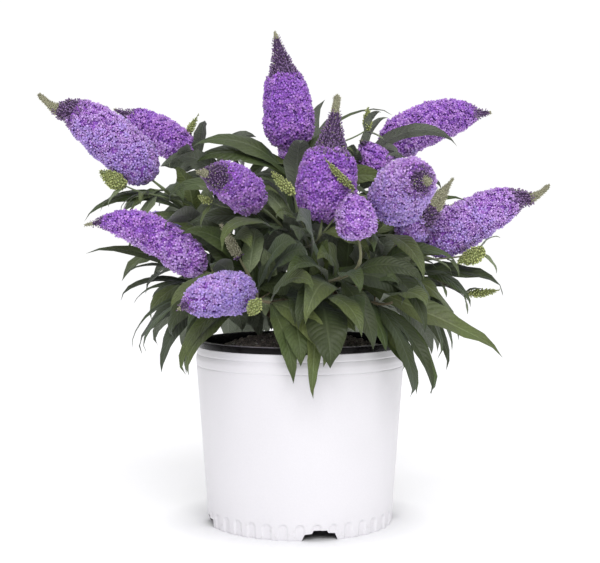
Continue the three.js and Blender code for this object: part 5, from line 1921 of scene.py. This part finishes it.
FLORET_FINISHES = ("Violet floret", "Magenta floret", "Lilac floret", "Lavender floret", "Blue floret")
LEAF_FINISHES = ("Deep leaf", "Green leaf", "Olive leaf", "Young leaf", "Leaf felt")
CORE_FINISHES = ("Floret core", "Bud core", "Felt core")
FINISHES = {
    "White shell": (white_shell, "shell"),
    "Black shell": (black_shell, "rim"),
    "Potting mix": (earth, "soil", 260.0, .9),
    "Bark chip": (earth, "chip", 200.0, .6),
    "White grain": (earth, "grain", 300.0, .2),
    "Bark": (bark, "bark"),
    "Stem": (stem, "stem"),
    "Deep leaf": (leaf_face, "leaf_deep"),
    "Green leaf": (leaf_face, "leaf_mid"),
    "Olive leaf": (leaf_face, "leaf_olive"),
    "Young leaf": (leaf_face, "leaf_young"),
    "Leaf felt": (leaf_felt, "felt"),
    "Violet floret": (petals, "violet"),
    "Magenta floret": (petals, "magenta"),
    "Lilac floret": (petals, "lilac"),
    "Lavender floret": (petals, "lavender"),
    "Blue floret": (petals, "blue"),
    "Violet bud": (buds, "violet_bud", 1.5),
    "Felt bud": (buds, "felt_bud", 1.25),
    "Spike bud": (buds, "spike_bud", 1.2),
    "Floret core": (core, "violet", .78),
    "Bud core": (core, "violet_bud", .45),
    "Felt core": (core, "felt_bud", .6),
    "Spike core": (core, "spike_bud", .5),
    "Floor": (pale_floor, "floor"),
}


def finish(name):
    """The material of that name, made the first time that a piece wants it."""
    maker, *values = FINISHES[name]
    return bpy.data.materials.get(name) or maker(name, *values)


# ---- Operators: one for each piece or group of like pieces ----

def settle_piece(piece, slot, *nodes):
    """Rides a piece on the body, and hides the imported parts that it stands for. The slot is not used.
    """
    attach(piece, BODY)
    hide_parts(*nodes)


def nodes_called(start):
    return sorted(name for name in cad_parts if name.startswith(start))


class BUSH_OT_container(Operator):
    """Make the white shell with its fluted, notched foot and the black liner's rim"""

    bl_idname = "bush.container"
    bl_label = "Container"

    def execute(self, context):
        settle_piece(container_shell(context.scene.bush_container), "white_shell", "pot")
        settle_piece(container_rim(), "black_shell", "pot_rim")
        return {"FINISHED"}


class BUSH_OT_potting_mix(Operator):
    """Fill the container with potting mix, with crumbs, bark chips and white grains on top"""

    bl_idname = "bush.potting_mix"
    bl_label = "Potting mix"

    def execute(self, context):
        container = context.scene.bush_container
        bed = potting_bed()
        rows = (
            ("potting_crumbs", container.crumbs, .0042, "Potting mix", (1, 1, .8), 5),
            ("potting_chips", container.chips, .0085, "Bark chip", (1.3, .7, .35), 6),
            ("potting_grains", container.grains, .004, "White grain", (1, 1, .9), 7),
        )
        for name, spacing, lump, finish_name, stretch, seed in rows:
            shape = lump_shape(stretch, .5, seed)
            piece = scatter(
                bed, name, shape, [finish_name], bearing="bearing", spacing=spacing, size=lump,
                size_spread=.45, tilt=.5, seed=seed,
            )
            discard(shape)
            settle_piece(piece, "potting_mix", "potting_mix")
        settle_piece(bed, "potting_mix", "potting_mix")
        return {"FINISHED"}


class BUSH_OT_woody_limbs(Operator):
    """Grow the root crown and the boughs, with ridged bark"""

    bl_idname = "bush.woody_limbs"
    bl_label = "Woody limbs"

    def execute(self, context):
        lines = lines_object("limb_lines", woody_lines())
        skins = run_tree(lines, limb_tree(), "limb_skins", {"Sides": 12, "Finish": finish("Bark")})
        fused = skins.modifiers.new("Fused", "REMESH")
        fused.mode = "VOXEL"
        fused.voxel_size = BARK_VOXEL
        relief = context.scene.bush_growth.bark_relief
        values = {"Relief": relief, "Finish": finish("Bark")}
        limbs = run_tree(skins, bark_tree(), "woody_limbs", values)
        discard(lines, skins)
        settle_piece(limbs, "bark", "root_crown", *nodes_called("bough_"))
        return {"FINISHED"}


class BUSH_OT_stems(Operator):
    """Grow the green shoots, their side twigs and the stalks of the flower heads"""

    bl_idname = "bush.stems"
    bl_label = "Stems"

    def execute(self, context):
        step = context.scene.bush_growth.stem_step
        lines = lines_object("stem_lines", stem_lines(grown(context), step))
        stems = run_tree(lines, limb_tree(), "stems", {"Sides": 7, "Finish": finish("Stem")})
        discard(lines)
        settle_piece(stems, "bark", *nodes_called("shoot_"))
        return {"FINISHED"}


class BUSH_OT_leaves(Operator):
    """Set the leaves on the shoots, and the small leaves of the sprouts in their axils"""

    bl_idname = "bush.leaves"
    bl_label = "Leaves"

    def execute(self, context):
        blade, bush = context.scene.bush_growth.blade, grown(context)
        for name, parts, seed in (("leaves", FULL_PARTS, 31), ("sprout_leaves", SMALL_PARTS, 37)):
            piece = leaves_object(name, bush[name], parts, blade, LEAF_FINISHES, seed)
            settle_piece(piece, "leaf", *nodes_called("shoot_"))
        return {"FINISHED"}


HEAD_GROUPS = {
    "florets_left": ("far_left", "rear_left", "mid_left", "low_left", "low_front", "slender_left"),
    "florets_middle": ("top", "middle", "small_front", "small_right", "right_front"),
    "florets_right": ("far_right", "rear_right", "budding_right"),
    "florets_back": (
        "back_high", "back_left_high", "back_low", "back_right_low", "back_left_low",
    ),
}


class BUSH_OT_flower_heads(Operator):
    """Build the flower heads: open florets, dark buds about to open and felted buds at the tips"""

    bl_idname = "bush.flower_heads"
    bl_label = "Flower heads"

    def execute(self, context):
        blossom = context.scene.bush_blossom
        by_name = {shoot.name: shoot for shoot in SHOOTS if shoot.tip}
        floret, bud, felt = floret_shape(), bud_shape(1.0), bud_shape(1.5)
        for seed, (name, members) in enumerate(HEAD_GROUPS.items(), 40):
            carrier = head_carrier("head_cores", [by_name[n] for n in members], blossom.floret_lift)
            florets = scatter(
                carrier, name, floret, FLORET_FINISHES, bearing="open", seed=seed,
                spacing=blossom.floret_spacing, size=blossom.floret, size_spread=.35,
                lean_forward=.25, tilt=.8, age_spread=.4,
            )
            settle_piece(florets, "blossom", *[f"head_{n}" for n in members])
            discard(carrier)
        cores = head_carrier("flower_cores", by_name.values(), blossom.floret_lift, CORE_FINISHES)
        rows = (
            ("violet_buds", bud, "violet", blossom.bud_spacing, blossom.bud, "Violet bud", .75),
            ("felt_buds", felt, "felt", blossom.felt_spacing, blossom.felt_bud, "Felt bud", .9),
        )
        for name, shape, bearing, spacing, length, finish_name, lean in rows:
            piece = scatter(
                cores, name, shape, [finish_name], bearing=bearing, spacing=spacing, size=length,
                size_spread=.25, lean_forward=lean, tilt=.35, seed=51,
            )
            settle_piece(piece, "blossom", *nodes_called("head_"))
        shade_cores(cores.data)
        settle_piece(cores, "blossom", *nodes_called("head_"))
        discard(floret, bud, felt)
        return {"FINISHED"}


def shade_cores(mesh):
    """The cores are violet under florets, dark under violet buds and pale under felted ones."""
    opened, felted = mesh.attributes["open"].data, mesh.attributes["felt"].data
    for face in mesh.polygons:
        first = face.vertices[0]
        face.material_index = int(opened[first].value < .5) + int(felted[first].value > .6)


class BUSH_OT_spikes(Operator):
    """Build the green bud spikes at the ends of the side twigs"""

    bl_idname = "bush.spikes"
    bl_label = "Bud spikes"

    def execute(self, context):
        blossom = context.scene.bush_blossom
        cores, shape = spike_carrier(grown(context)), bud_shape(1.6)
        spike_buds = scatter(
            cores, "spike_buds", shape, ["Spike bud"], bearing="bearing",
            spacing=blossom.spike_spacing, size=blossom.spike_bud, size_spread=.25,
            lean_forward=1.1, tilt=.4, seed=61,
        )
        discard(shape)
        for piece in (spike_buds, cores):
            settle_piece(piece, "leaf", *nodes_called("shoot_"))
        return {"FINISHED"}


FLOOR_HALF = 7
SUN_SPREAD = 38
LIGHTS_AIM = Vector((0, 0, .3))
WALLS_BRIGHTNESS = 1.02


class BUSH_OT_stage(Operator):
    """Set up the pale floor, the soft lights, the white room and the camera"""

    bl_idname = "bush.stage"
    bl_label = "Stage"

    def execute(self, context):
        scene = context.scene
        studio = scene.bush_studio
        corners = [
            (x * FLOOR_HALF, y * FLOOR_HALF, 0) for x, y in ((-1, -1), (1, -1), (1, 1), (-1, 1))
        ]
        mesh_object("floor", corners, [range(4)], finishes=["Floor"], smooth=False)
        add_lights(studio)
        light_room(scene, studio)
        add_camera(scene, studio)
        scene.view_settings.view_transform = "Standard"
        return {"FINISHED"}


def add_lights(studio):
    """A wide soft sun from high in front, one fill panel at the right and one on top."""
    rows = (
        ("key_light", "SUN", studio.key_power, (.15, -1.7, 1.8), "angle", radians(SUN_SPREAD)),
        ("fill_light", "AREA", studio.fill_power, (1.6, -1.2, .7), "size", 1.4),
        ("top_light", "AREA", studio.top_power, (.1, .2, 2.0), "size", 1.6),
    )
    for name, kind, power, place, measure, value in rows:
        light = bpy.data.lights.new(name, kind)
        light.energy = power
        setattr(light, measure, value)
        aim = (LIGHTS_AIM - Vector(place)).to_track_quat("-Z", "Y").to_matrix().to_4x4()
        linked(name, light).matrix_world = Matrix.Translation(place) @ aim


def light_room(scene, studio):
    """A white room: white to look at, and as bright as the surround setting as a light."""
    scene.world = bpy.data.worlds.new("White room")
    scene.world.use_nodes = True
    make = Tree(scene.world.node_tree)
    looked_at = make.add("ShaderNodeLightPath")["Is Camera Ray"]
    make.feed(make.tree.nodes["Background"], {
        "Color": (1, 1, 1, 1),
        "Strength": make.span(looked_at, 0.0, 1.0, studio.surround, WALLS_BRIGHTNESS),
    })


def add_camera(scene, studio):
    camera = linked("camera", bpy.data.cameras.new("camera"))
    camera.data.lens = studio.lens
    camera.location = (0, -studio.camera_distance, studio.camera_height)
    camera.rotation_euler = (pi / 2 - studio.tilt, 0, 0)
    scene.camera = camera


PIECE_OPERATORS = (
    BUSH_OT_container, BUSH_OT_potting_mix, BUSH_OT_woody_limbs, BUSH_OT_stems,
    BUSH_OT_leaves, BUSH_OT_flower_heads, BUSH_OT_spikes, BUSH_OT_stage,
)


class BUSH_PT_panel(Panel):
    """Lists the settings and the pieces of the bush"""

    bl_label = "Butterfly Bush"
    bl_idname = "BUSH_PT_panel"
    bl_space_type = "VIEW_3D"
    bl_region_type = "UI"
    bl_category = "Bush"

    def draw(self, context):
        for pointer, group in SETTINGS.items():
            box = self.layout.box()
            box.label(text=group.bl_rna.description)
            settings = getattr(context.scene, pointer)
            for key in group.__annotations__:
                box.prop(settings, key)
        for operator in PIECE_OPERATORS:
            self.layout.operator(operator.bl_idname)


CLASSES = (*SETTINGS.values(), *PIECE_OPERATORS, BUSH_PT_panel)


def register():
    for kind in CLASSES:
        bpy.utils.register_class(kind)
    for pointer, group in SETTINGS.items():
        setattr(bpy.types.Scene, pointer, PointerProperty(type=group))


def unregister():
    for pointer in SETTINGS:
        delattr(bpy.types.Scene, pointer)
    for kind in reversed(CLASSES):
        bpy.utils.unregister_class(kind)


def main():
    register()
    for operator in PIECE_OPERATORS:
        group, action = operator.bl_idname.split(".")
        getattr(getattr(bpy.ops, group), action)()


if __name__ == "__main__":
    main()
